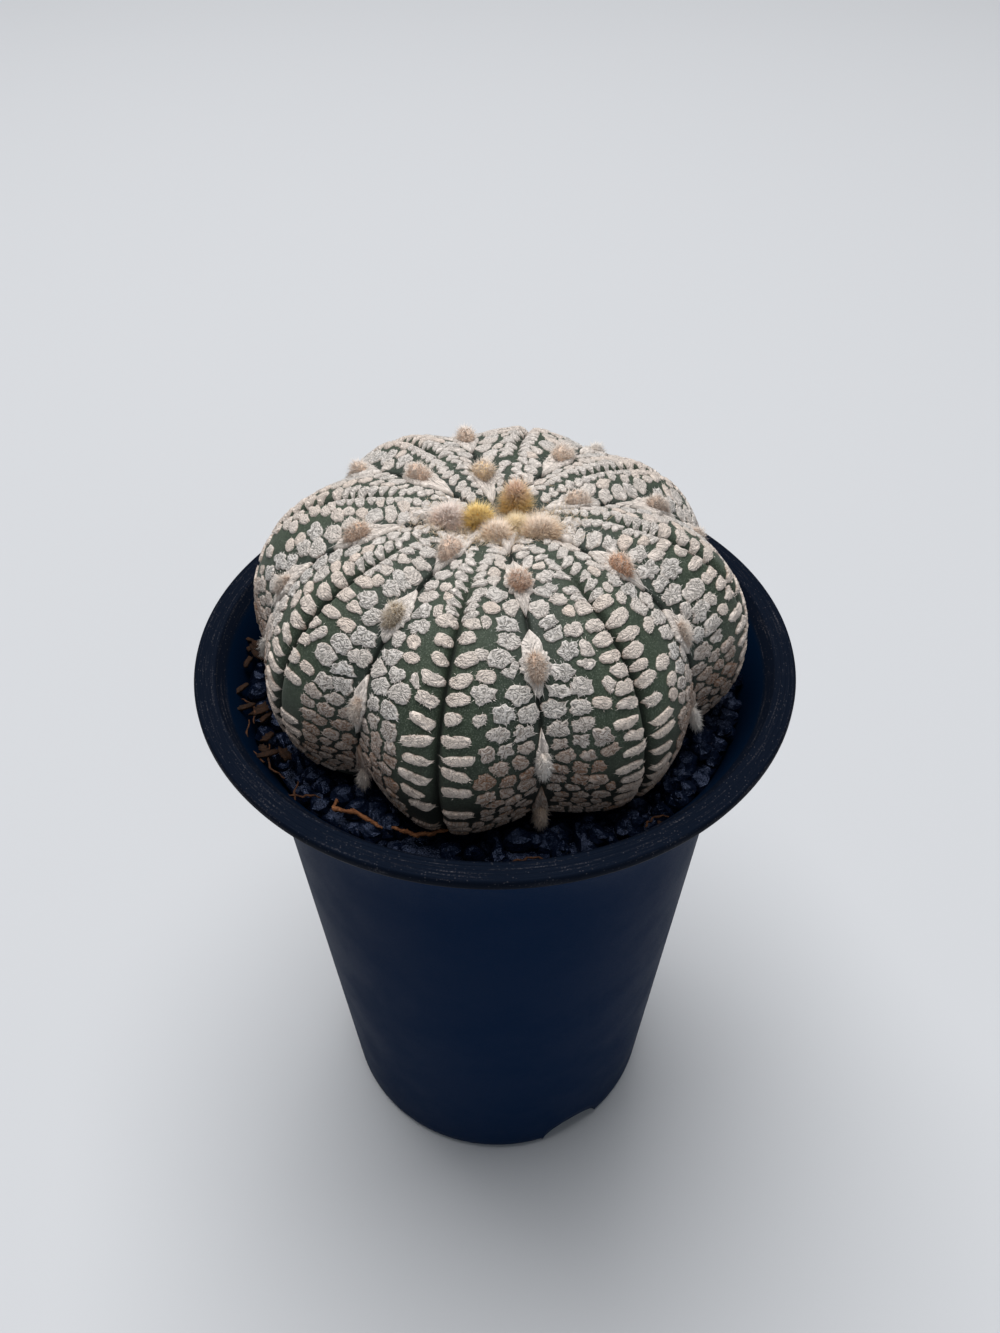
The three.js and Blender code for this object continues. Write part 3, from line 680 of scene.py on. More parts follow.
def fleck_outlines(skin, half, sites, flecks, theta, random):
    """Radius of each fleck by direction. A fleck starts as a rounded bar, is cut back where it
    meets a neighbour, the row, the crease or a spearhead, and is then notched at random."""
    row, _, reach, tufts = half
    x, arc, a, b, turn, power = sites[:, :6].T
    a, b, turn, power = a[:, None], b[:, None], turn[:, None], power[:, None]
    tone, chain = sites[:, 7], sites[:, 8]
    count, one_each = len(sites), (len(sites), 1)
    gap = flecks.gap / MM
    spear_edge, least_facing = 0.36, 0.08
    rough = 1 - 0.82 * np.clip(tone, 0, 1)[:, None]
    lobes = random.integers(2, 6, count)[:, None]
    own = superellipse(theta - turn, a, b, power)
    own *= 1 + 0.09 * rough * np.cos(lobes * theta + random.uniform(0, 6.3, one_each))

    # where two flecks would meet, each gives way in proportion to its reach towards the other
    dx, ds = x[None] - x[:, None], arc[None] - arc[:, None]
    apart = np.hypot(dx, ds)
    np.fill_diagonal(apart, FAR)
    toward = np.arctan2(ds, dx)
    reach_to = superellipse(toward - turn, a, b, power)
    meet = apart * reach_to / (reach_to + reach_to.T)
    young = arc < 27
    chained = (chain[None] * chain[:, None] > 0) & young[None] & young[:, None]
    fused = random.random(meet.shape)
    fused = (fused + fused.T) / 2 > np.where((np.abs(ds) < 1.9) & (arc < 38), 0.56, 0.82)
    own_gap = gap + 0.2 * ramp(arc, 38, 46)[:, None]
    meet = meet - np.where(chained | fused, -0.06, own_gap / 2)
    facing = np.cos(theta[None, None] - toward[..., None])
    limit = np.maximum(meet, 0.3)[..., None] / np.maximum(facing, least_facing)
    limit = np.where(facing > least_facing, limit, FAR)
    radius = np.minimum(own, limit.min(1))

    def cut(distance, direction):
        """Cuts the outlines by a straight line at a distance in a direction."""
        facing = np.cos(theta[None] - np.asarray(direction)[:, None])
        line = np.maximum(distance, 0.2)[:, None] / np.maximum(facing, 0.05)
        return np.minimum(radius, np.where(facing > 0.05, line, FAR))

    room = np.radians(reach) * skin.ring_radius(arc)
    radius = cut(x - 0.2, np.full(count, np.pi))
    radius = cut(room - x - 0.04, np.zeros(count))
    for tuft, _ in tufts:
        up, below = spear_runs(row, tuft)
        above = arc < tuft
        run = np.where(above, up, below)
        half_width = spear_half_width(tuft)
        tilt = np.arctan2(half_width, run)
        distance = (x - half_width * (1 - np.abs(arc - tuft) / run)) * np.cos(tilt)
        near = np.abs(arc - tuft) < run + 2.0
        direction = np.where(above, np.pi + tilt, np.pi - tilt)
        radius = np.where(near[:, None], cut(distance - gap - spear_edge, direction), radius)
    radius = 0.7 * radius + 0.15 * (np.roll(radius, 1, -1) + np.roll(radius, -1, -1))

    scallops = np.round(2 * radius.mean(-1) + random.uniform(0.5, 3.0, count))[:, None]
    phase = random.uniform(0, 3.1, one_each)
    phase = phase + 0.35 * np.sin(theta + random.uniform(0, 6, one_each))
    dent = (1 - np.abs(np.sin(scallops * theta / 2 + phase))) ** 1.6
    radius = radius * (1.04 - random.uniform(0.12, 0.42, one_each) * rough * dent)
    notch = random.random(radius.shape) < 0.10 * rough
    radius = radius * np.where(notch, 0.78, 1)
    return radius * (1 + (0.012 + 0.03 * rough) * random.normal(size=radius.shape))


def flecks_piece(skin, material):
    """All flecks: each has a sunk foot, a steep edge and a nearly flat top. Their hairs lie
    outwards over the rim."""
    flecks = settings().flecks
    random = np.random.default_rng(11)
    sides, hairs_each, least_area = 20, 26, 0.35
    theta = turns(sides)
    parts = []
    for half in half_ribs():
        sites = fleck_sites(skin, half, flecks, random)
        outline = fleck_outlines(skin, half, sites, flecks, theta, random)
        big = (outline ** 2).mean(-1) > least_area
        row, way = (np.full(big.sum(), value) for value in half[:2])
        parts.append((sites[big], outline[big], row, way))
    sites, outline, row, way = (np.concatenate(part) for part in zip(*parts))
    count = len(sites)
    x, arc, tone, chain = sites[:, 0], sites[:, 1], sites[:, 7], sites[:, 8]
    azimuth = row + way * np.degrees(x / skin.ring_radius(arc))
    height = sites[:, 6] * flecks.height / MM * np.clip(outline.mean(-1) / 1.2, 0.6, 1)
    sweep, down, share, rise = ring_stack(FLECK_RINGS, outline, theta)
    lumps = 1 + 0.12 * random.normal(size=down.shape) * (share < 0.99)
    lift = height[:, None, None] * rise * lumps
    middle = height * random.uniform(0.75, 1.05, count)
    points, faces = patches(skin, azimuth, arc, way[:, None, None] * sweep, down, lift, middle)
    size = len(points) // count
    stain = ramp(arc, 40, 49) * random.uniform(0.72, 1, count)
    stain = stain * np.where(chain > 0, ramp(arc, 47, 61), 1)
    uv = felt_map(random, sweep, down)
    rim = np.tile(on_rings([1.0, 1.0, 0.25], sides, 0.0), (count, 1))
    rim = np.maximum(rim, 0.62 * ramp(arc, 30, 16)[:, None]).ravel()
    # edge marks each pad's foot ring, which the felt darkens as brown fibres and painted contact
    # shadow
    edge_ring = np.tile(on_rings([1.0, 0.0, 0.0], sides, 0.0), (count, 1))
    browned = (random.random((count, size)) < 0.3) * edge_ring
    browned = np.maximum(browned, np.roll(browned, sides, 1)) * np.interp(arc, *BROWN_EDGE)[:, None]
    values = {
        "tone": np.repeat(tone, size), "stain": np.maximum(stain[:, None], browned).ravel(),
        "rim": rim, "edge": edge_ring.ravel(),
    }
    build("felt_flecks", points, faces, material, node="cactus", values=values, uv=uv)

    pick = random.integers(0, sides, (count, hairs_each))
    edge = np.take_along_axis(outline, pick, 1)
    angle = theta[pick] + random.normal(0, 0.15, pick.shape)
    inner = random.uniform(0.45, 0.95, pick.shape)
    outer = inner + random.uniform(0.15, 0.45, pick.shape)
    ends = []
    for reach, up in ((inner, 0.85), (np.minimum(outer, 1.2), 0.95)):
        aside = np.degrees(edge * reach * np.cos(angle) / skin.ring_radius(arc)[:, None])
        bearing = azimuth[:, None] + way[:, None] * aside
        here = arc[:, None] + edge * reach * np.sin(angle)
        ends.append(skin.point(bearing, here, height[:, None] * up))
    felt_hairs("fleck_hairs", material, ends, 0.11, tone, stain)


# ------------------------------------------------------------------ areoles and crown wool


def spearheads(name, node, skin, felt, random, row, arc, half, up, below, lift):
    """Kites of felt with toothed edges, and loose hairs lying outwards on them."""
    sides, hairs_each = 48, 190
    theta = turns(sides)
    count = len(arc)
    long = np.where(np.sin(theta) < 0, up[:, None], below[:, None])
    outline = superellipse(theta[None], half[:, None], long, 1.12)
    outline = outline * (1 + 0.06 * np.cos(9 * theta + random.uniform(0, 6, (count, 1))))
    outline = outline * (1 + 0.05 * random.normal(size=outline.shape))
    across, down, _, rise = ring_stack(SPEAR_RINGS, outline, theta)
    rise = rise * lift * (1 + 0.09 * random.normal(size=across.shape))
    points, faces = patches(skin, row, arc, across, down, rise, np.full(count, 0.85 * lift))
    size = len(points) // count
    stain = ramp(arc, 46, 57) * 0.85
    uv = felt_map(random, across, down * 0.6)
    values = {
        "tone": np.repeat(random.uniform(0.35, 0.6, count), size),
        "stain": np.repeat(stain, size),
        "rim": np.tile(on_rings([1, 1, 0.7, 0.5, 0.4, 0.3], sides, 0.3), count),
        # foot ring, darkened as brown fibres and painted contact shadow
        "edge": np.tile(on_rings([1, 0, 0, 0, 0, 0], sides, 0), count),
    }
    build(name + "s", points, faces, felt, node=node, values=values, uv=uv)

    pick = random.integers(0, sides, (count, hairs_each))
    edge = np.take_along_axis(outline, pick, 1)
    angle = theta[pick]
    inner = random.uniform(0.25, 0.95, pick.shape)
    outer = inner + random.uniform(0.1, 0.28, pick.shape)
    ends = []
    for reach, lean, high in ((inner, 0.0, 0.72), (outer, 0.4, 0.8)):
        here = arc[:, None] + edge * reach * np.sin(angle) + lean
        aside = edge * reach * np.cos(angle) / np.maximum(skin.ring_radius(here), 1)
        ends.append(skin.point(row[:, None] + np.degrees(aside), here, high * lift))
    felt_hairs(name + "_hairs", felt, ends, 0.1, np.full(count, 0.2), stain)


def areoles(skin, felt, wool):
    """Spearheads of felt along the rows, each with a woolly tuft on its lower half. Young tufts
    stand up, and those low on the plant are tilted outwards and hang."""
    random = np.random.default_rng(23)
    places = [(row, *tuft) for row, tufts in zip(ROW_AZIMUTHS, ROW_TUFTS) for tuft in tufts]
    row, arc = np.array([place[:2] for place in places]).T
    up, below = spear_runs(row, arc)
    half = spear_half_width(arc) * random.uniform(0.9, 1.1, len(arc))
    spearheads("spearhead", "cactus", skin, felt, random, row, arc, half, up, below, 0.9)

    lower, young = ramp(arc, 38, 50), ramp(arc, 34, 22)
    lift = 0.45 + 0.35 * young
    middle = skin.point(row, arc + 0.3, lift)
    out = unit(skin.point(row, arc + 0.3, lift + 1.2) - middle)
    fall = unit(skin.point(row, arc + 1.0, lift) - middle)
    cross = unit(np.cross(fall, out))
    tilt = np.radians(35) * ramp(arc, 48, 55)[:, None]
    fall, out = fall * np.cos(tilt) + out * np.sin(tilt), out * np.cos(tilt) - fall * np.sin(tilt)
    middle = middle + fall * np.clip(arc - 50, 0, 4)[:, None] * 0.35
    half_axes = np.stack([
        np.interp(arc, [20, 27, 33, 46], [1.6, 1.25, 0.95, 0.72]),
        np.interp(arc, [20, 30, 46], [2.0, 1.8, 2.3]),
        1.3 + 0.95 * young - 0.15 * lower,
    ], -1)
    half_axes = half_axes * random.uniform(0.92, 1.08, (len(arc), 1))
    colours = [place[2] for place in places]
    woolly_tufts(
        "areole_wool", None, wool, random, middle, np.stack([cross, fall, out], 1), half_axes,
        colours, lean=0.3 + 0.9 * lower, each=1100, hair=(0.3, 1.5))


def woolly_tufts(name, node, material, random, middle, base, half_axes, colours, lean, each,
                 hair):
    """Woolly domes with hairs: a dome is the upper part of an ellipsoid with three half axes,
    swollen and roughened along its normal, and `each` hairs leave it along its normal, leaning
    down, of a length between the two in `hair`. `base` holds each dome's own axes: across,
    down and out of the skin."""
    count = len(middle)
    sides, rings, core, hair_root = 22, 8, 0.88, 0.86
    grid = globe_grid(np.linspace(0.62, 0.06, rings) * np.pi, turns(sides))
    globe = np.tile(np.append(grid, [[0, 0, 1.0]], 0), (count, 1, 1))
    waves = random.normal(size=(count, 3, 4)) * 2.2
    shift = random.uniform(0, 6.3, (count, 1, 4))

    def turned(vectors):
        """Vectors given along each dome's own axes."""
        return np.einsum("cnk,ckd->cnd", vectors, base)

    def dome(direction):
        """Points of the swollen ellipsoids in given directions of their own axes."""
        swell = 1 + 0.05 * np.sin(direction @ waves + shift).sum(-1, keepdims=True)
        return middle[:, None] + turned(direction * swell * half_axes[:, None])

    rough = 1 + 0.05 * random.normal(size=globe.shape[:2] + (1,))
    points = dome(globe * rough * core).reshape(-1, 3)
    roots, tips, tops = (np.array([WOOL_COLOURS[c][k] for c in colours]) for k in range(3))
    shade = random.uniform(0.8, 1.1, (len(points), 1))
    shade = np.repeat(roots * 0.95, globe.shape[1], 0) * shade
    build(name, points, pad_faces(rings, sides, count), material, node=node,
          values={"tint": shade})

    direction = random.normal(size=(count, each, 3))
    direction[..., 2] = np.abs(direction[..., 2]) - 0.12
    direction = unit(direction)
    start = dome(direction * hair_root)
    push = unit(direction / half_axes[:, None])
    push[..., 1] += np.broadcast_to(lean, count)[:, None]
    push = unit(push + 0.5 * random.normal(size=push.shape))
    shortest, longest = hair
    size = shortest + (longest - shortest) * random.random((count, each, 1)) ** 2.5
    end = start + turned(push) * size
    hairs, faces, share = spikes(start.reshape(-1, 3), end.reshape(-1, 3), 0.1)
    share = share[:, None]
    on_top = np.clip(1.6 * direction[..., 2] - 0.55, 0, 1)[..., None]
    far = tips[:, None] * (1 - on_top) + tops[:, None] * on_top
    near = roots[:, None] * (1 - 0.6 * on_top) + 0.6 * tops[:, None] * on_top * 0.8
    near, far = (np.repeat(part.reshape(-1, 3), SPIKE_POINTS, 0) for part in (near, far))
    tint = near * (1 - share) + far * share
    tint = tint * np.repeat(random.uniform(0.82, 1.1, count * each), SPIKE_POINTS)[:, None]
    build(name + "_hairs", hairs, faces, material, values={"tint": tint})


def crown_wool(skin, felt, wool):
    """Six dense tufts in the hollow of the crown, felt spearheads under them, and loose fluff."""
    random = np.random.default_rng(41)
    x, y, wide, deep, high = np.array([tuft[:5] for tuft in CROWN_TUFTS]).T
    middle = skin.point(0.0, 0.01) + np.stack([x, y, 0.5 + 0.10 * np.hypot(x, y + 3)], -1)
    base = np.tile(np.diag([-1.0, -1.0, 1.0])[None], (len(x), 1, 1))
    half_axes, colours = np.stack([wide, deep, high], -1), [tuft[5] for tuft in CROWN_TUFTS]
    woolly_tufts("crown_tufts", "crown_wool", wool, random, middle, base, half_axes, colours,
                 lean=0.0, each=5200, hair=(0.35, 2.5))
    spearheads("crown_spearhead", None, skin, felt, random, *np.array(CROWN_SPEARS, float).T, 1.5)

    count = 7000
    golden, pale = np.array([0.95, 0.70, 0.40]), np.array([0.92, 0.85, 0.78])
    spot = random.normal(size=(count, 2)) * [4.4, 2.4] + [0.0, -3.2]
    bearing = np.degrees(np.arctan2(spot[:, 0], -spot[:, 1]))
    start = skin.point(bearing, np.maximum(np.hypot(*spot.T), 0.1), 0.1)
    push = unit(random.normal(size=(count, 3)) * [1, 1, 0.5] + [0, -0.15, 0.55])
    end = start + push * random.uniform(0.8, 2.4, (count, 1))
    strands, faces, share = spikes(start, end, 0.085)
    mixed = random.random((count, 1))
    tint = np.repeat(golden * (1 - mixed) + pale * mixed, SPIKE_POINTS, 0)
    tint = tint * (0.7 + 0.3 * share)[:, None]
    build("crown_fluff", strands, faces, wool, values={"tint": tint})


# ------------------------------------------------------------------ pot and grit


class PotShape:
    """The pot's profile: a straight taper, and above the flare's start the wall curves out with
    the cube of the height."""

    slope = 0.068
    flare_power = 3
    lip_under = 48.6
    lip_inner = 46.4
    arches = 3
    first_arch = 29.0
    arch_reach = 9.0
    floor = 2.0
    floor_overlap = 0.4
    hole_radius = 3.5
    hole_circle = 15.0

    def __init__(self):
        pot = settings().pot
        self.height = pot.height / MM
        self.rim = pot.rim_radius / MM
        self.base = pot.base_radius / MM
        self.wall = pot.wall / MM
        self.under = self.height - pot.lip_depth / MM
        self.flare = pot.flare_start / MM
        self.arch_height = pot.arch_height / MM
        self.arch_half = pot.arch_width / MM / 2

    def taper(self, height, top, top_radius):
        """Radius of the taper, curved out to `top_radius` at the height `top`."""
        rise = np.maximum((height - self.flare) / (top - self.flare), 0)
        more = top_radius - (self.base + self.slope * top)
        return self.base + self.slope * height + more * rise ** self.flare_power

    def outer(self, height):
        return self.taper(height, self.under, self.lip_under)

    def inner(self, height):
        return self.taper(height, self.height, self.lip_inner + self.wall) - self.wall

    def arch_azimuths(self):
        return self.first_arch + 360 / self.arches * np.arange(self.arches)

    def from_arch(self, azimuth):
        """Degrees from each azimuth to the nearest drainage arch."""
        return np.abs((azimuth[:, None] - self.arch_azimuths() + 180) % 360 - 180).min(1)

    def columns(self):
        """Azimuths of the wall's columns: even steps, and over each drainage arch the steps
        that trace an ellipse smoothly."""
        sine = self.arch_half / self.base
        even = np.arange(0, 360, 1.5)
        away = self.from_arch(even)
        trace = np.degrees(np.arcsin(sine * np.sin(np.radians(np.linspace(-90, 90, 31)))))
        over = (self.arch_azimuths()[:, None] + trace).ravel()
        beside = away > math.degrees(math.asin(sine)) + 0.5
        return np.sort(np.concatenate([even[beside], over]) % 360)

    def arch(self, azimuth):
        """Height of the opening at the foot of the wall, half an ellipse."""
        away = np.radians(np.minimum(self.from_arch(azimuth), 90))
        x = self.base * np.sin(away) / self.arch_half
        return self.arch_height * np.sqrt(np.clip(1 - x ** 2, 0, 1))


def pot_piece(pot, material):
    """The wall is one closed loop of profile points turned about Z, its lower edge lifted over
    the drainage arches. Four fine grooves run round the lip's top."""
    azimuth = pot.columns()
    foot = pot.arch(azimuth)[None]
    rise = np.concatenate([np.linspace(0, 0.05, 4), np.linspace(0.05, 0.78, 22)[1:],
                           np.linspace(0.78, 1, 26)[1:]])[:, None]
    out_z = foot + (pot.under - foot) * rise
    out_r = pot.outer(out_z) - np.clip(1 - out_z, 0, 1)
    lip = [
        (pot.rim - 0.7, pot.under), (pot.rim - 0.2, pot.under + 0.1), (pot.rim, pot.under + 0.6),
        (pot.rim, pot.height - 0.55), (pot.rim - 0.15, pot.height - 0.15),
    ]
    steps = np.linspace(pot.rim - 0.45, pot.lip_inner + 0.2, 17)
    lip += [(r, pot.height - 0.15 * (k % 4 == 2) - 0.02 * (k % 2)) for k, r in enumerate(steps)]
    lip.append((pot.lip_inner, pot.height - 0.35))
    lip_r, lip_z = (np.array(part)[:, None] * np.ones(len(azimuth)) for part in zip(*lip))
    in_z = foot + (pot.height - 0.8 - foot) * (1 - rise)
    radius = np.concatenate([out_r, lip_r, pot.inner(in_z)])
    height = np.concatenate([out_z, lip_z, in_z])
    points = around(azimuth[None], radius, height).reshape(-1, 3)
    rows, columns = radius.shape
    ring, last = np.arange(columns), (rows - 1) * columns
    after = np.roll(ring, -1)
    close = np.stack([ring, after, last + after, last + ring], -1)[:, ::-1]

    floor_points, floor_faces = pot_floor(pot, len(points))
    every = np.concatenate([points, floor_points])
    # inside marks the inner wall and the floor, which the plastic darkens as painted shade
    inside = np.repeat(np.arange(rows) >= len(out_z), columns)
    inside = np.append(inside, np.ones(len(floor_points)))
    faces = [grid_faces(rows, columns)[:, ::-1], close, *floor_faces]
    build("nursery_pot", every, faces, material, node="pot",
          values={"inside": inside})


def pot_floor(pot, first):
    """Floor slab in four quarters, each a grid from a round drain hole's edge out to the
    quarter's outline. Returns points and faces, numbered from `first`."""
    points, faces = [], []
    for quarter in range(4):
        turn = np.linspace(0, 90, 46) + quarter * 90
        notch = pot.arch_reach * (pot.arch(turn) / pot.arch_height) ** 0.5
        outer = around(turn, pot.inner(1.0) + pot.floor_overlap - notch, 0)
        back = outer[-1:] * np.linspace(1, 0, 12)[1:, None]
        forth = outer[:1] * np.linspace(0, 1, 12)[1:-1, None]
        outline = np.concatenate([outer, back, forth])
        middle = around(quarter * 90 + 45, pot.hole_circle, 0)
        hole = middle + pot.hole_radius * unit(outline - middle)
        high = [0, 0, pot.floor]
        loop = np.concatenate([hole, outline, outline + high, hole + high])
        faces.append((grid_faces(5, len(outline)) % len(loop))[:, ::-1] + first)
        points.append(loop)
        first += len(loop)
    return np.concatenate(points), faces


def stones(random, centres, radii):
    """Broken grains: a globe grid whose radius in each direction is the least distance to a set
    of random planes, so that it has flat faces and corners. Returns points and faces."""
    count, columns, rows, planes_each = len(centres), 9, 5, 11
    grid = globe_grid(np.linspace(0.16, 0.84, rows) * np.pi, turns(columns))
    directions = np.concatenate([grid, [[0, 0, 1.0], [0, 0, -1.0]]])
    turn = random.uniform(0, 6.3, count)
    sine, cosine, zero = np.sin(turn), np.cos(turn), 0 * turn
    spin = [[cosine, -sine, zero], [sine, cosine, zero], [zero, zero, 1 + zero]]
    directions = np.einsum("vk,dkc->cvd", directions, np.array(spin))
    planes = unit(random.normal(size=(count, planes_each, 3)))
    offset = random.uniform(0.72, 1.05, (count, 1, planes_each))
    facing = np.einsum("cvd,cpd->cvp", directions, planes)
    reach = np.where(facing > 0.1, offset / np.maximum(facing, 0.1), 9).min(-1)
    reach = np.minimum(reach, 1.25) * (1 + 0.05 * random.normal(size=reach.shape))
    stretch = random.uniform(0.8, 1.2, (count, 1, 3))
    points = centres[:, None] + directions * reach[..., None] * stretch * radii[:, None, None]
    faces = [repeated(f, count, directions.shape[1]) for f in closed_faces(rows, columns)]
    return points.reshape(-1, 3), faces


def plant_radius(skin, azimuth, height):
    """How far the plant reaches out at a height below its waist."""
    arc = np.linspace(44, 84, 80)
    points = skin.point(azimuth[:, None], arc[None], 0.6) - [*skin.centre[:2], 0]
    level = np.abs(points[..., 2] - height[:, None]).argmin(1)
    there = np.take_along_axis(points, level[:, None, None], 1)[:, 0]
    return np.hypot(there[:, 0], there[:, 1])


def grit_piece(skin, pot, material):
    """Grains laid in rings between the plant and the wall: two layers, and small chips on
    top of which only a share is kept."""
    grit = settings().grit
    random = np.random.default_rng(37)
    level, grain = grit.level / MM, grit.grain / MM
    wall = pot.inner(level + 1) - 0.4
    laid = []
    for layer, (circle_step, pitch, size, up) in enumerate(GRIT_LAYERS):
        for circle in np.arange(wall - 1.5, 24, -circle_step):
            count = int(2 * np.pi * circle / pitch)
            place = np.arange(count) + random.uniform(-0.2, 0.2, count) + layer * 0.5
            laid.append((
                place * 360 / count,
                circle + random.uniform(-0.5, 0.5, count),
                level + up + random.uniform(-0.35, 0.6, count),
                grain * size * random.uniform(0.78, 1.18, count),
            ))
    azimuth, radius, height, size = (np.concatenate(part) for part in zip(*laid))
    plant = plant_radius(skin, azimuth, height)
    keep = (radius - size > plant - 0.3) & (radius + size * 1.05 < wall + 0.3)
    keep &= (size > grain * 0.6) | (random.random(len(size)) < 0.35)
    azimuth, radius, height, size = (part[keep] for part in (azimuth, radius, height, size))
    points, faces = stones(random, around(azimuth, radius, height), size)
    shade = np.repeat(random.random(len(size)), len(points) // len(size))
    build("grit_stones", points, faces, material, node="grit", smooth=False,
          values={"shade": shade})
    grit_bed(pot, level, material)


def grit_bed(pot, level, material):
    """The bed under the grains: a profile turned about Z, lumpy by a sum of two waves, with a
    hollow in the middle for the plant's root."""
    columns, underside, hollow = 160, 2.4, 88.0
    azimuth = np.arange(columns) * 360 / columns
    heights = np.array([
        underside, underside, 6, 10, 20, 50, 80, 95, 103, 109,
        level - 0.6, level, level - 0.1, level - 0.1, level - 0.2, level - 0.6,
    ])
    inner = pot.inner(np.minimum(heights, level)) - 0.35
    inner[0] = 8
    inner[11:] = [inner[10] - 1.0, 38, 34, 31, 28]
    inner, heights, turn = inner[:, None], heights[:, None], np.radians(azimuth)[None]
    lump = 0.25 * np.sin(17 * turn + heights) + 0.2 * np.sin(31 * turn + 2 * heights)
    on_top = heights > level - 1
    height = heights + np.where(on_top, lump * 1.6, 0)
    radius = inner + np.where(heights < level - 1, np.minimum(lump, 0) * 0.8, 0)
    bed = around(azimuth[None], radius, height)
    bore = around(azimuth[None], np.array([[24.0], [10.0]]), np.array([[104.0], [90.0]]))
    rings = np.concatenate([bed, bore])
    every = np.concatenate([rings.reshape(-1, 3), [[0, 0, underside], [0, 0, hollow]]])
    build("grit_bed", every, closed_faces(len(rings), columns, turned=True), material,
          node="grit", values={"shade": np.full(len(every), 0.3)})


# ------------------------------------------------------------------ litter


def smooth_path(points, steps):
    """Catmull-Rom curve through points, as an array."""
    padded = np.concatenate([2 * points[:1] - points[1:2], points, 2 * points[-1:] - points[-2:-1]])
    t = np.linspace(0, len(points) - 1, steps)
    k = np.minimum(t.astype(int), len(points) - 2)
    f = (t - k)[:, None]
    a, b, c, d = (padded[k + n] for n in range(4))
    return 0.5 * (2 * b + (c - a) * f + (2 * a - 5 * b + 4 * c - d) * f ** 2
                  + (3 * b - 3 * c + d - a) * f ** 3)


def tube(path, radius, random):
    """A profile carried along a path: rings of points whose radius varies along it and round
    it, closed by a point at each end. Returns points and faces."""
    sides = 8
    tangent = unit(np.gradient(path, axis=0))
    side = unit(np.cross(tangent, [0, 0, 1.0]))[:, None]
    other = np.cross(side[:, 0], tangent)[:, None]
    turn = turns(sides)[:, None]
    rough = 1 + 0.16 * random.normal(size=(len(path), sides))
    radius = (radius[:, None] * rough)[..., None]
    rings = path[:, None] + radius * (side * np.cos(turn) + other * np.sin(turn))
    every = np.concatenate([rings.reshape(-1, 3), path[:1], path[-1:]])
    return every, closed_faces(len(path), sides)


def fibre(name, node, route, radius, rest, material, random, steps=46):
    """A dry root fibre along a route of (azimuth, radius), waving as three sines and tapering
    to both ends."""
    path = smooth_path(around(*np.array(route).T, rest), steps)
    t = np.linspace(0, 1, steps)
    waves = [0.12 * np.sin(19 * t), 0.12 * np.sin(23 * t + 1), 0.18 * np.sin(11 * t)]
    thick = radius * (0.45 + 0.75 * np.sin(np.pi * np.clip(t, 0.04, 0.96)) ** 0.5)
    thick = thick * (1 + 0.15 * np.sin(29 * t))
    points, faces = tube(path + np.stack(waves, -1), thick, random)
    build(name, points, faces, material, node=node)


def bark_chip(name, node, chip, rest, material, random):
    """A flake of bark: a thin slab curled across its width by a square law, ragged at its edge
    and rippled along its grain."""
    azimuth, radius, long, wide, turn = chip
    sides, half_thick = 26, 0.24
    theta = turns(sides)
    edge = superellipse(theta, long / 2, wide / 2, 2.4) * (1 + 0.13 * random.normal(size=sides))
    scale = np.array([0.35, 0.85, 1.0, 0.96, 0.45])[:, None]
    level = np.array([-half_thick, -half_thick, -0.03, 0.2, half_thick])[:, None]
    x, y = scale * edge * np.cos(theta), scale * edge * np.sin(theta)
    curl = random.uniform(0.1, 0.3)
    z = level + curl * y ** 2 + 0.07 * np.sin(7 * y) + 0.04 * random.normal(size=x.shape)
    local = np.concatenate([
        np.stack([x, y, z], -1).reshape(-1, 3), [[0, 0, -half_thick], [0, 0, half_thick]],
    ])
    spin = (Matrix.Rotation(math.radians(turn), 3, "Z")
            @ Matrix.Rotation(random.uniform(-0.35, 0.35), 3, "X")
            @ Matrix.Rotation(random.uniform(-0.3, 0.3), 3, "Y"))
    points = local @ np.array(spin).T + around(azimuth, radius, rest + 0.35)
    faces = closed_faces(len(scale), sides, turned=True)
    build(name, points, faces, material, node=node)


def litter(root, thin_root, bark):
    """Two dry root fibres, thin fibres, and flakes and husks of bark on the grit. Most husks
    lie at the left."""
    random = np.random.default_rng(53)
    rest = settings().grit.level / MM + 3.0
    fibre("dry_root_front_left", "dry_root_long", LONG_FIBRE, 0.30, rest, root, random)
    fibre("dry_root_front", "dry_root_short", SHORT_FIBRE, 0.30, rest, root, random)
    for k, route in enumerate(THIN_FIBRES, 1):
        fibre(f"thin_fibre_{k}", None, route, 0.15, rest + 0.1, thin_root, random, steps=24)
    for k, chip in enumerate(BARK_CHIPS, 1):
        bark_chip(f"bark_flake_{k}", f"bark_chip_{k}", chip, rest, bark, random)
    for k in range(1, BARK_HUSKS + 1):
        azimuth = random.uniform(-98, -48) if k <= HUSKS_AT_LEFT else random.uniform(20, 250)
        chip = (azimuth, random.uniform(39.8, 44.0), random.uniform(1.4, 4.2),
                random.uniform(0.7, 1.6), random.uniform(0, 180))
        bark_chip(f"bark_husk_{k}", None, chip, rest, bark, random)


# ------------------------------------------------------------------ materials


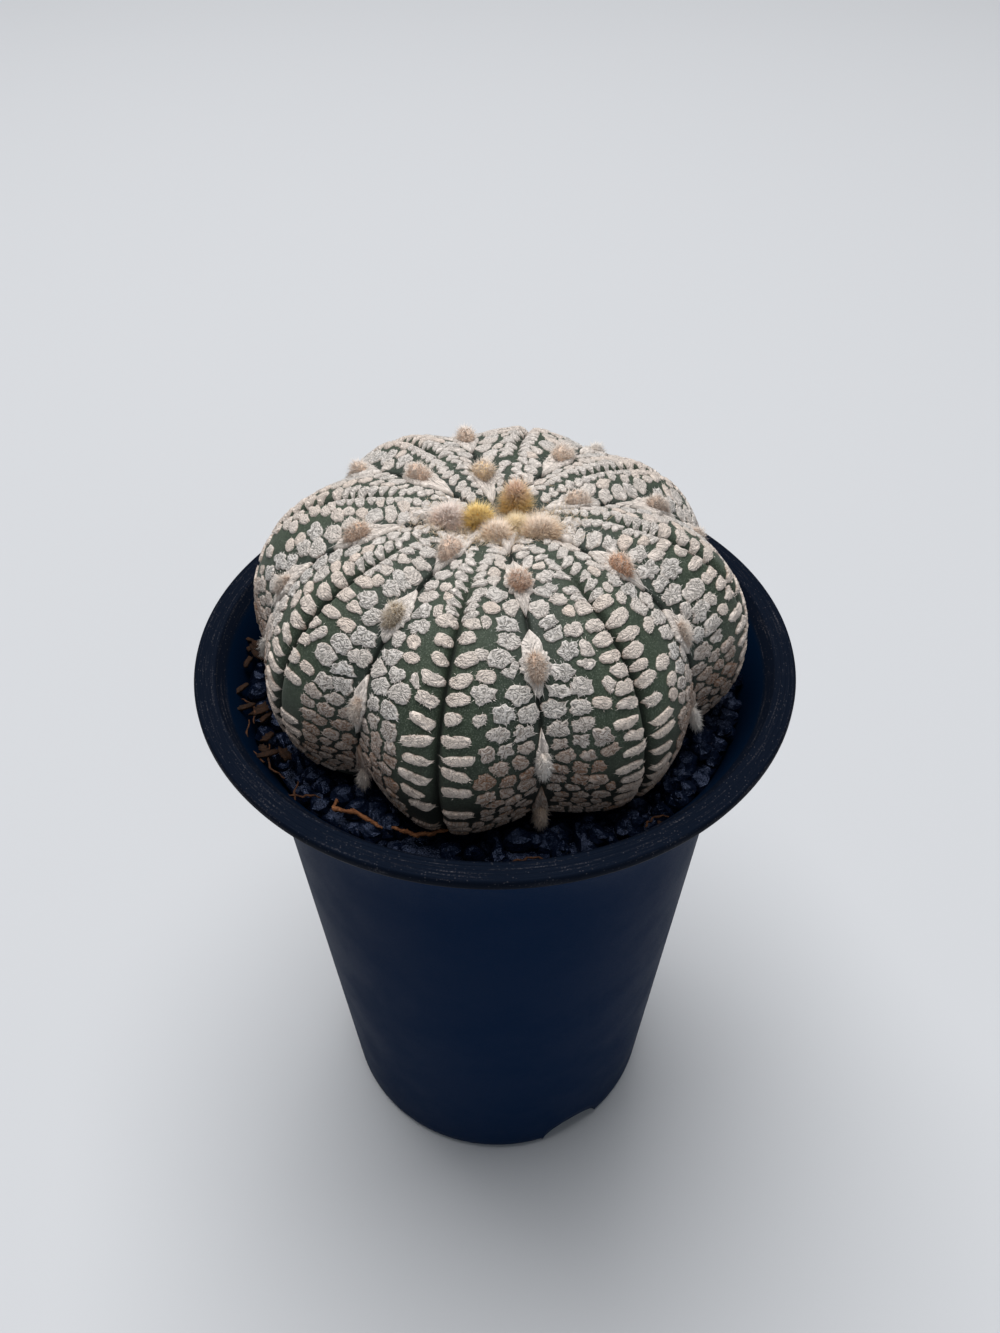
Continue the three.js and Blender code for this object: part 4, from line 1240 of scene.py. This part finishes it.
class Recipe:
    """Adds nodes to a tree. Inputs are given by name, as values or as another node's output."""

    def __init__(self, tree):
        self.tree = tree

    def fill(self, node, inputs):
        for key, value in inputs.items():
            if isinstance(value, bpy.types.NodeSocket):
                self.tree.links.new(value, node.inputs[key])
            else:
                node.inputs[key].default_value = value

    def add(self, kind, inputs=None, **options):
        node = self.tree.nodes.new(kind)
        for name, value in options.items():
            setattr(node, name, value)
        self.fill(node, inputs or {})
        return node

    def mix(self, factor, first, second, blend="MIX"):
        """Colour mix of two colours or sockets."""
        first, second = ((*c, 1.0) if isinstance(c, tuple) else c for c in (first, second))
        node = self.add("ShaderNodeMix", {0: factor, 6: first, 7: second},
                        data_type="RGBA", blend_type=blend)
        return node.outputs[2]

    def math(self, operation, *values):
        return self.add("ShaderNodeMath", dict(enumerate(values)), operation=operation).outputs[0]

    def times(self, first, second):
        return self.math("MULTIPLY", first, second)

    def plus(self, first, second):
        return self.math("ADD", first, second)

    def remap(self, value, low, high, to_low=0.0, to_high=1.0):
        return self.add("ShaderNodeMapRange", {
            "Value": value, "From Min": low, "From Max": high, "To Min": to_low, "To Max": to_high,
        }).outputs[0]

    def attribute(self, name, output="Fac"):
        return self.add("ShaderNodeAttribute", attribute_name=name).outputs[output]

    def noise(self, vector, scale, detail=2.0, roughness=0.5, distortion=0.0):
        return self.add("ShaderNodeTexNoise", {
            "Vector": vector, "Scale": scale, "Detail": detail, "Roughness": roughness,
            "Distortion": distortion,
        }).outputs["Fac"]

    def bump(self, height, strength, distance):
        """Distance is in millimetres."""
        return self.add("ShaderNodeBump", {
            "Height": height, "Strength": strength, "Distance": distance * MM,
        }).outputs["Normal"]

    def place(self):
        """Object coordinates in millimetres."""
        place = self.add("ShaderNodeTexCoord").outputs["Object"]
        return self.add("ShaderNodeVectorMath", {0: place, 3: 1 / MM}, operation="SCALE").outputs[0]

    def separate(self, vector):
        return self.add("ShaderNodeSeparateXYZ", {0: vector}).outputs

    def combine(self, x, y, z):
        return self.add("ShaderNodeCombineXYZ", {0: x, 1: y, 2: z}).outputs[0]

    def effect(self, name, place, **values):
        """One of the shared effects, with its own values. Each effect is built once."""
        tree = bpy.data.node_groups.get(name) or EFFECTS[name](name)
        return self.add("ShaderNodeGroup", {"Place": place, **values}, node_tree=tree).outputs[0]

    def give(self, value):
        """Ends an effect: joins its output and returns its tree."""
        self.add("NodeGroupOutput", {0: value})
        return self.tree


def new_effect(name, output, **values):
    """An empty node group that takes a place and some values and puts out one value. Returns
    its recipe and its input sockets."""
    tree = bpy.data.node_groups.new(name, "ShaderNodeTree")
    tree.interface.new_socket("Place", in_out="INPUT", socket_type="NodeSocketVector")
    for label, default in values.items():
        socket = tree.interface.new_socket(label, in_out="INPUT", socket_type="NodeSocketFloat")
        socket.default_value = default
    tree.interface.new_socket(output, in_out="OUTPUT", socket_type="NodeSocketFloat")
    r = Recipe(tree)
    return r, r.add("NodeGroupInput").outputs


def fine_grain(name):
    """Fine grain: two sizes of noise added. Puts out a height."""
    r, given = new_effect(name, "Height", Size=2.0)
    coarse = r.noise(given["Place"], given["Size"], 3.0, 0.6)
    fine = r.noise(given["Place"], r.times(given["Size"], 3.7), 2.0, 0.6)
    return r.give(r.math("MULTIPLY_ADD", fine, 0.5, coarse))


def dust(name):
    """Scattered specks: the middles of cells, of which the amount says what share is kept.
    Puts out a mask."""
    r, given = new_effect(name, "Mask", Size=1.5, Amount=0.5)
    cells = r.add("ShaderNodeTexVoronoi", {"Vector": given["Place"], "Scale": given["Size"]})
    speck = r.remap(cells.outputs["Distance"], 0.28, 0.10)
    lot = r.add("ShaderNodeSeparateColor", {0: cells.outputs["Color"]}).outputs[0]
    return r.give(r.times(speck, r.math("LESS_THAN", lot, given["Amount"])))


def fibres(name):
    """Combed hairs: noise stretched along one direction of the surface, bent by a slower one.
    Puts out a value."""
    r, given = new_effect(name, "Value", Size=1.0, Stretch=4.0)
    x, y, z = r.separate(given["Place"])
    bent = r.plus(y, r.times(r.noise(given["Place"], 0.9, 1.0), 1.6))
    combed = r.combine(x, r.times(bent, given["Stretch"]), z)
    return r.give(r.noise(combed, given["Size"], 3.0, 0.65))


def curls(name):
    """Matted hairs: strands that follow the level lines of a slow noise, as a sine of it, broken
    up by a finer noise. Puts out a value."""
    r, given = new_effect(name, "Value", Size=1.0, Turns=5.0)
    slow = r.noise(given["Place"], given["Size"], 1.5, 0.55, 0.5)
    level = r.times(r.times(slow, given["Turns"]), 2 * math.pi)
    strand = r.remap(r.math("SINE", level), -1.0, 1.0)
    broken = r.noise(given["Place"], r.times(given["Size"], 3.0), 2.0, 0.6)
    return r.give(r.plus(r.times(strand, 0.42), r.times(broken, 0.58)))


EFFECTS = {"fine grain": fine_grain, "dust": dust, "fibres": fibres, "curls": curls}


def new_material(name, roughness, specular, specular_tint=(1, 1, 1), sheen=0.0,
                 sheen_tint=(1, 1, 1)):
    """A material with its shader; uniform values are set on the shader's own sockets."""
    made = bpy.data.materials.new(name)
    made.use_nodes = True
    made.node_tree.nodes.clear()
    r = Recipe(made.node_tree)
    shader = r.add("ShaderNodeBsdfPrincipled", {
        "Roughness": roughness, "Sheen Weight": sheen, "Sheen Tint": (*sheen_tint, 1.0),
        "Specular IOR Level": specular, "Specular Tint": (*specular_tint, 1.0),
    })
    r.add("ShaderNodeOutputMaterial", {"Surface": shader.outputs[0]})
    return made, r, shader


def skin_material():
    """Velvety dark green skin with pale pores, bloom and powder beside the woolly rows, and painted
    shade in the valleys along the rows, in the folds and near the soil."""
    plant = settings().plant
    made, r, shader = new_material(
        "cactus skin", 0.62, 0.3, sheen=0.05, sheen_tint=(0.80, 0.88, 0.78))
    place = r.place()
    bloom = r.remap(r.noise(place, 0.12, 3.0, 0.55), 0.32, 0.72)
    base = r.mix(r.times(bloom, 0.6), tuple(plant.skin), tuple(plant.skin_pale))
    pore = r.effect("fine grain", place, Size=4.0)
    base = r.mix(r.remap(pore, 0.74, 1.05, 0, 0.7), base, (0.13, 0.165, 0.125))
    dots = r.effect("dust", place, Size=2.7, Amount=0.97)
    base = r.mix(r.times(dots, 0.75), base, (0.15, 0.185, 0.14))
    flank = r.attribute("flank")
    # painted shade in the valleys along the woolly rows; flank also places the real powder below
    base = r.mix(r.times(flank, 0.6), base, (0.020, 0.028, 0.026))
    powder = r.effect("dust", place, Size=2.8, Amount=0.6)
    cloud = r.remap(r.noise(place, 0.35, 2.0), 0.43, 0.62)
    powder = r.times(r.times(powder, cloud), r.remap(flank, 0.0, 0.6, 0.15, 0.9))
    base = r.mix(powder, base, (0.46, 0.46, 0.44))
    # painted shade: darker along the creases and the cut lines of the rows
    base = r.mix(r.times(r.attribute("groove"), 0.85), base, (0.005, 0.008, 0.006))
    # painted shade near the soil: the skin is darkened low on the plant
    base = r.mix(r.times(r.attribute("low"), 0.9), base, (0.0045, 0.0045, 0.004))
    r.fill(shader, {"Base Color": base, "Normal": r.bump(pore, 0.35, 0.25)})
    return made


def felt_material():
    """Felt of short white hairs: curled streaks, pits that show the skin between the hairs, a
    paler rim, a dark brown foot that is partly brown fibres and partly painted contact shadow,
    and brown stains near the soil."""
    flecks = settings().flecks
    made, r, shader = new_material(
        "white felt", 0.9, 0.1, sheen=0.08, sheen_tint=(1.0, 0.98, 0.95))
    surface = r.add("ShaderNodeUVMap", uv_map="surface").outputs[0]
    tone, stain, rim = (r.attribute(name) for name in ("tone", "stain", "rim"))
    streak = r.effect("curls", surface, Size=0.95, Turns=5.0)
    fine = r.effect("fine grain", surface, Size=3.2)
    base = r.mix(tone, tuple(flecks.grey), tuple(flecks.cream))
    filled = r.plus(streak, r.times(r.times(tone, 0.09), 2.6))
    gaps = r.times(r.remap(filled, 0.55, 0.30), r.remap(rim, 0.2, 1.0, 1.0, 0.15))
    base = r.mix(r.times(gaps, 0.84), base, (0.15, 0.145, 0.125))
    base = r.mix(r.remap(fine, 0.76, 0.54, 0.0, 0.5), base, (0.34, 0.31, 0.28))
    pale = r.mix(tone, (0.91, 0.87, 0.83), (0.90, 0.80, 0.725))
    base = r.mix(r.times(r.remap(rim, 0.4, 0.95), 0.55), base, pale)
    # dark brown foot: partly brown fibres, partly painted contact shadow where the fleck meets the
    # skin
    base = r.mix(r.times(r.attribute("edge"), 0.85), base, (0.12, 0.078, 0.052))
    browned = r.times(stain, r.remap(streak, 0.3, 0.65, 1.0, 0.7))
    base = r.mix(browned, base, tuple(flecks.stain))
    height = r.plus(r.times(streak, 1.0), r.times(fine, 0.7))
    r.fill(shader, {"Base Color": base, "Normal": r.bump(height, 1.0, 0.45)})
    return made


def wool_material():
    """Loose wool, tinted hair by hair."""
    made, r, shader = new_material(
        "areole wool", 0.8, 0.2, sheen=0.55, sheen_tint=(1.0, 0.90, 0.80))
    grain = r.effect("fine grain", r.place(), Size=2.2)
    shade = r.remap(grain, 0.55, 0.95, 0.16, 0.0)
    base = r.mix(shade, r.attribute("tint", "Color"), (0.45, 0.34, 0.24), "MULTIPLY")
    r.fill(shader, {"Base Color": base, "Normal": r.bump(grain, 0.4, 0.2)})
    return made


def plastic_material():
    """Black satin plastic, navy from a painted blue reflection, with a fine moulded grain, a thin
    film and painted shade inside. The lip's top is darker and nearly neutral, with light streaks
    round it that are partly wear and partly painted glints, and dust specks."""
    pot = settings().pot
    made, r, shader = new_material("pot plastic", pot.gloss, 0.022, (0.35, 0.58, 1.0))
    place = r.place()
    grain = r.effect("fine grain", place, Size=3.2)
    film = r.remap(r.noise(place, 0.07, 4.0, 0.6), 0.42, 0.75)
    # the navy base colour: near-black plastic with a painted blue reflection
    base = r.mix(r.times(film, 0.05), tuple(pot.plastic), (0.016, 0.030, 0.055))
    # painted shade inside the pot: the inner wall and the floor are darkened
    base = r.mix(r.times(r.attribute("inside"), 0.9), base, (0.0012, 0.0058, 0.0165))
    x, y, level = r.separate(place)
    lip = r.remap(level, 118.6, 119.4)
    # the lip's top is darker and nearly neutral, without the wall's painted blue reflection
    base = r.mix(r.times(lip, 0.8), base, (0.0040, 0.0055, 0.0100))
    out = r.math("SQRT", r.plus(r.times(x, x), r.times(y, y)))
    along = r.combine(r.times(x, 0.10), r.times(y, 0.10), r.times(out, 4.2))
    # light streaks round the lip: partly wear, partly painted glints on its ridges
    wear_and_glints = r.times(r.remap(r.noise(along, 1.0, 2.0), 0.56, 0.74), r.remap(grain, 0.72, 0.98))
    specks = r.effect("dust", place, Size=2.4, Amount=0.3)
    marks = r.math("MAXIMUM", r.times(wear_and_glints, 0.7), r.times(specks, 0.45))
    # lip marks: wear, painted glints and dust specks
    base = r.mix(r.times(lip, marks), base, (0.11, 0.105, 0.115))
    rough = r.plus(r.times(film, 0.12), r.remap(grain, 0.4, 1.1, 0.40, 0.54))
    r.fill(shader, {"Base Color": base, "Roughness": rough, "Normal": r.bump(grain, 0.12, 0.12)})
    return made


def grit_material():
    """Black volcanic stone, each grain a little different, with tiny hollows, glints and a few
    dust specks."""
    made, r, shader = new_material("volcanic grit", 0.4, 0.42, (0.50, 0.62, 1.0))
    place = r.place()
    grain = r.effect("fine grain", place, Size=1.6)
    cells = r.add("ShaderNodeTexVoronoi", {"Vector": place, "Scale": 1.1}).outputs["Distance"]
    stone = tuple(settings().grit.stone)
    base = r.mix(r.times(r.attribute("shade"), 0.7), stone, (0.0035, 0.0062, 0.0165))
    base = r.mix(r.remap(grain, 0.88, 1.2, 0, 0.5), base, (0.015, 0.020, 0.036))
    specks = r.effect("dust", place, Size=1.7, Amount=0.08)
    base = r.mix(r.times(specks, 0.4), base, (0.09, 0.07, 0.055))
    r.fill(shader, {
        "Base Color": base,
        "Roughness": r.remap(grain, 0.45, 1.05, 0.14, 0.46),
        "Normal": r.bump(r.plus(grain, r.times(cells, 0.7)), 0.5, 0.42),
    })
    return made


def dry_material(name):
    """Dry plant litter: streaks along it, darker in the cracks."""
    grit = settings().grit
    dark, light = {
        "dry root": ((0.10, 0.035, 0.014), grit.root),
        "thin root": ((0.02, 0.009, 0.005), (0.075, 0.031, 0.014)),
        "dry bark": ((0.010, 0.005, 0.003), grit.bark),
    }[name]
    made, r, shader = new_material(name, 0.75, 0.15)
    streak = r.effect("fibres", r.place(), Size=1.4, Stretch=2.0)
    base = r.mix(r.remap(streak, 0.35, 0.62), dark, tuple(light))
    r.fill(shader, {"Base Color": base, "Normal": r.bump(streak, 0.8, 0.3)})
    return made


def floor_material():
    """Pale matt floor with a faint slow change of tone."""
    made, r, shader = new_material("pale floor", 0.7, 0.3)
    tone = r.remap(r.noise(r.place(), 0.01, 3.0), 0.3, 0.7, 0.0, 0.06)
    base = r.mix(tone, tuple(settings().stage.floor), (0.55, 0.56, 0.58))
    r.fill(shader, {"Base Color": base})
    return made


MATERIALS = {
    "cactus skin": skin_material,
    "white felt": felt_material,
    "areole wool": wool_material,
    "pot plastic": plastic_material,
    "volcanic grit": grit_material,
}


def finish(name):
    """A finish of the part by name, its material made once."""
    made = bpy.data.materials.get(name)
    return made or (MATERIALS[name]() if name in MATERIALS else dry_material(name))


# ------------------------------------------------------------------ stage


def lamp(name, place, target, size, power, tint):
    """A square soft light, its place and target in millimetres."""
    light = bpy.data.lights.new(name, "AREA")
    light.shape = "SQUARE"
    light.size = size * MM
    light.energy = power
    light.color = tint
    holder = bpy.data.objects.new(name, light)
    bpy.context.scene.collection.objects.link(holder)
    place, target = Vector(place) * MM, Vector(target) * MM
    turn = (target - place).to_track_quat("-Z", "Y").to_matrix().to_4x4()
    holder.matrix_world = Matrix.Translation(place) @ turn


def stage(scene):
    """A wide pale floor, an overhead soft light with a weaker one from the front, light from
    all round, and the camera at the photograph's angle."""
    chosen = settings().stage
    half_floor, lines = 2000, 9
    span = np.linspace(-half_floor, half_floor, lines)
    x, y = np.meshgrid(span, span)
    points = np.stack([x, y, np.zeros_like(x)], -1).reshape(-1, 3)
    faces = grid_faces(lines, lines, wrap=False)[:, ::-1]
    mesh = bpy.data.meshes.new("studio_floor")
    mesh.from_pydata((points * MM).tolist(), [], faces.tolist())
    mesh.materials.append(floor_material())
    floor = bpy.data.objects.new("studio_floor", mesh)
    scene.collection.objects.link(floor)

    world = bpy.data.worlds.new("studio")
    world.use_nodes = True
    r = Recipe(world.node_tree)
    light = world.node_tree.nodes["Background"]
    r.fill(light, {"Color": (0.86, 0.92, 1.0, 1.0), "Strength": chosen.sky})
    backdrop = r.add("ShaderNodeBackground", {"Color": (0.56, 0.58, 0.61, 1.0), "Strength": 1.0})
    seen = r.add("ShaderNodeLightPath").outputs["Is Camera Ray"]
    both = r.add("ShaderNodeMixShader", {0: seen, 1: light.outputs[0], 2: backdrop.outputs[0]})
    r.fill(world.node_tree.nodes["World Output"], {"Surface": both.outputs[0]})
    scene.world = world
    for name, place, target, size, share, tint in LAMPS:
        lamp(name, place, target, size, chosen.key_power * share, tint)

    camera = bpy.data.cameras.new("camera")
    camera.sensor_width = 36.0
    camera.lens = chosen.lens
    camera.clip_start = 0.01
    eye = bpy.data.objects.new("camera", camera)
    scene.collection.objects.link(eye)
    pitch, roll = math.radians(chosen.pitch), math.radians(chosen.roll)
    forward = np.array([0, math.cos(pitch), -math.sin(pitch)])
    right = np.array([1.0, 0, 0])
    up = np.cross(right, forward)
    axis_x = math.cos(roll) * right + math.sin(roll) * up
    axis_y = -math.sin(roll) * right + math.cos(roll) * up
    turn = Matrix(np.stack([axis_x, axis_y, -forward], -1).tolist()).to_4x4()
    eye.matrix_world = Matrix.Translation(Vector(CAMERA_PLACE) * MM) @ turn
    scene.camera = eye
    scene.view_settings.view_transform = "Standard"


# ------------------------------------------------------------------ operators


class CACTUS_OT_pot(bpy.types.Operator):
    """Build the nursery pot"""

    bl_idname = "cactus.pot"
    bl_label = "Nursery pot"

    def execute(self, context):
        pot_piece(PotShape(), finish("pot plastic"))
        return {"FINISHED"}


class CACTUS_OT_grit(bpy.types.Operator):
    """Fill the pot with volcanic grit"""

    bl_idname = "cactus.grit"
    bl_label = "Volcanic grit"

    def execute(self, context):
        grit_piece(Skin(), PotShape(), finish("volcanic grit"))
        return {"FINISHED"}


class CACTUS_OT_body(bpy.types.Operator):
    """Build the ribbed body of the plant"""

    bl_idname = "cactus.body"
    bl_label = "Ribbed body"

    def execute(self, context):
        skin_piece(Skin(), finish("cactus skin"))
        return {"FINISHED"}


class CACTUS_OT_flecks(bpy.types.Operator):
    """Cover the ribs with felt flecks"""

    bl_idname = "cactus.flecks"
    bl_label = "Felt flecks"

    def execute(self, context):
        flecks_piece(Skin(), finish("white felt"))
        return {"FINISHED"}


class CACTUS_OT_areoles(bpy.types.Operator):
    """Set the spearheads and tufts along the rows"""

    bl_idname = "cactus.areoles"
    bl_label = "Spearheads and tufts"

    def execute(self, context):
        areoles(Skin(), finish("white felt"), finish("areole wool"))
        return {"FINISHED"}


class CACTUS_OT_crown(bpy.types.Operator):
    """Pack the woolly crown"""

    bl_idname = "cactus.crown"
    bl_label = "Crown wool"

    def execute(self, context):
        crown_wool(Skin(), finish("white felt"), finish("areole wool"))
        return {"FINISHED"}


class CACTUS_OT_litter(bpy.types.Operator):
    """Lay dry roots and bark on the grit"""

    bl_idname = "cactus.litter"
    bl_label = "Dry roots and bark"

    def execute(self, context):
        litter(finish("dry root"), finish("thin root"), finish("dry bark"))
        return {"FINISHED"}


class CACTUS_OT_stage(bpy.types.Operator):
    """Set up the floor, the light and the camera"""

    bl_idname = "cactus.stage"
    bl_label = "Stage"

    def execute(self, context):
        stage(context.scene)
        return {"FINISHED"}


class CACTUS_PT_panel(bpy.types.Panel):
    """Sidebar panel with the sizes, the colours and a button for each piece"""

    bl_label = "Potted star cactus"
    bl_idname = "CACTUS_PT_panel"
    bl_space_type = "VIEW_3D"
    bl_region_type = "UI"
    bl_category = "Cactus"

    def draw(self, context):
        chosen = context.scene.star_cactus
        for title, group_name in GROUPS:
            box = self.layout.box()
            box.label(text=title)
            values = getattr(chosen, group_name)
            for name in values.__annotations__:
                box.prop(values, name)
        for operator in OPERATORS:
            self.layout.operator(operator.bl_idname)


GROUPS = [
    ("Pot", "pot"), ("Plant", "plant"), ("Flecks", "flecks"), ("Grit", "grit"), ("Stage", "stage"),
]
OPERATORS = [
    CACTUS_OT_pot, CACTUS_OT_grit, CACTUS_OT_body, CACTUS_OT_flecks, CACTUS_OT_areoles,
    CACTUS_OT_crown, CACTUS_OT_litter, CACTUS_OT_stage,
]
CLASSES = [
    PotSettings, PlantSettings, FleckSettings, GritSettings, StageSettings, CactusSettings,
    *OPERATORS, CACTUS_PT_panel,
]


def register():
    for item in CLASSES:
        bpy.utils.register_class(item)
    bpy.types.Scene.star_cactus = bpy.props.PointerProperty(type=CactusSettings)


def unregister():
    del bpy.types.Scene.star_cactus
    for item in reversed(CLASSES):
        bpy.utils.unregister_class(item)


def main():
    register()
    for step in ("pot", "grit", "body", "flecks", "areoles", "crown", "litter", "stage"):
        getattr(bpy.ops.cactus, step)()


if __name__ == "__main__":
    main()
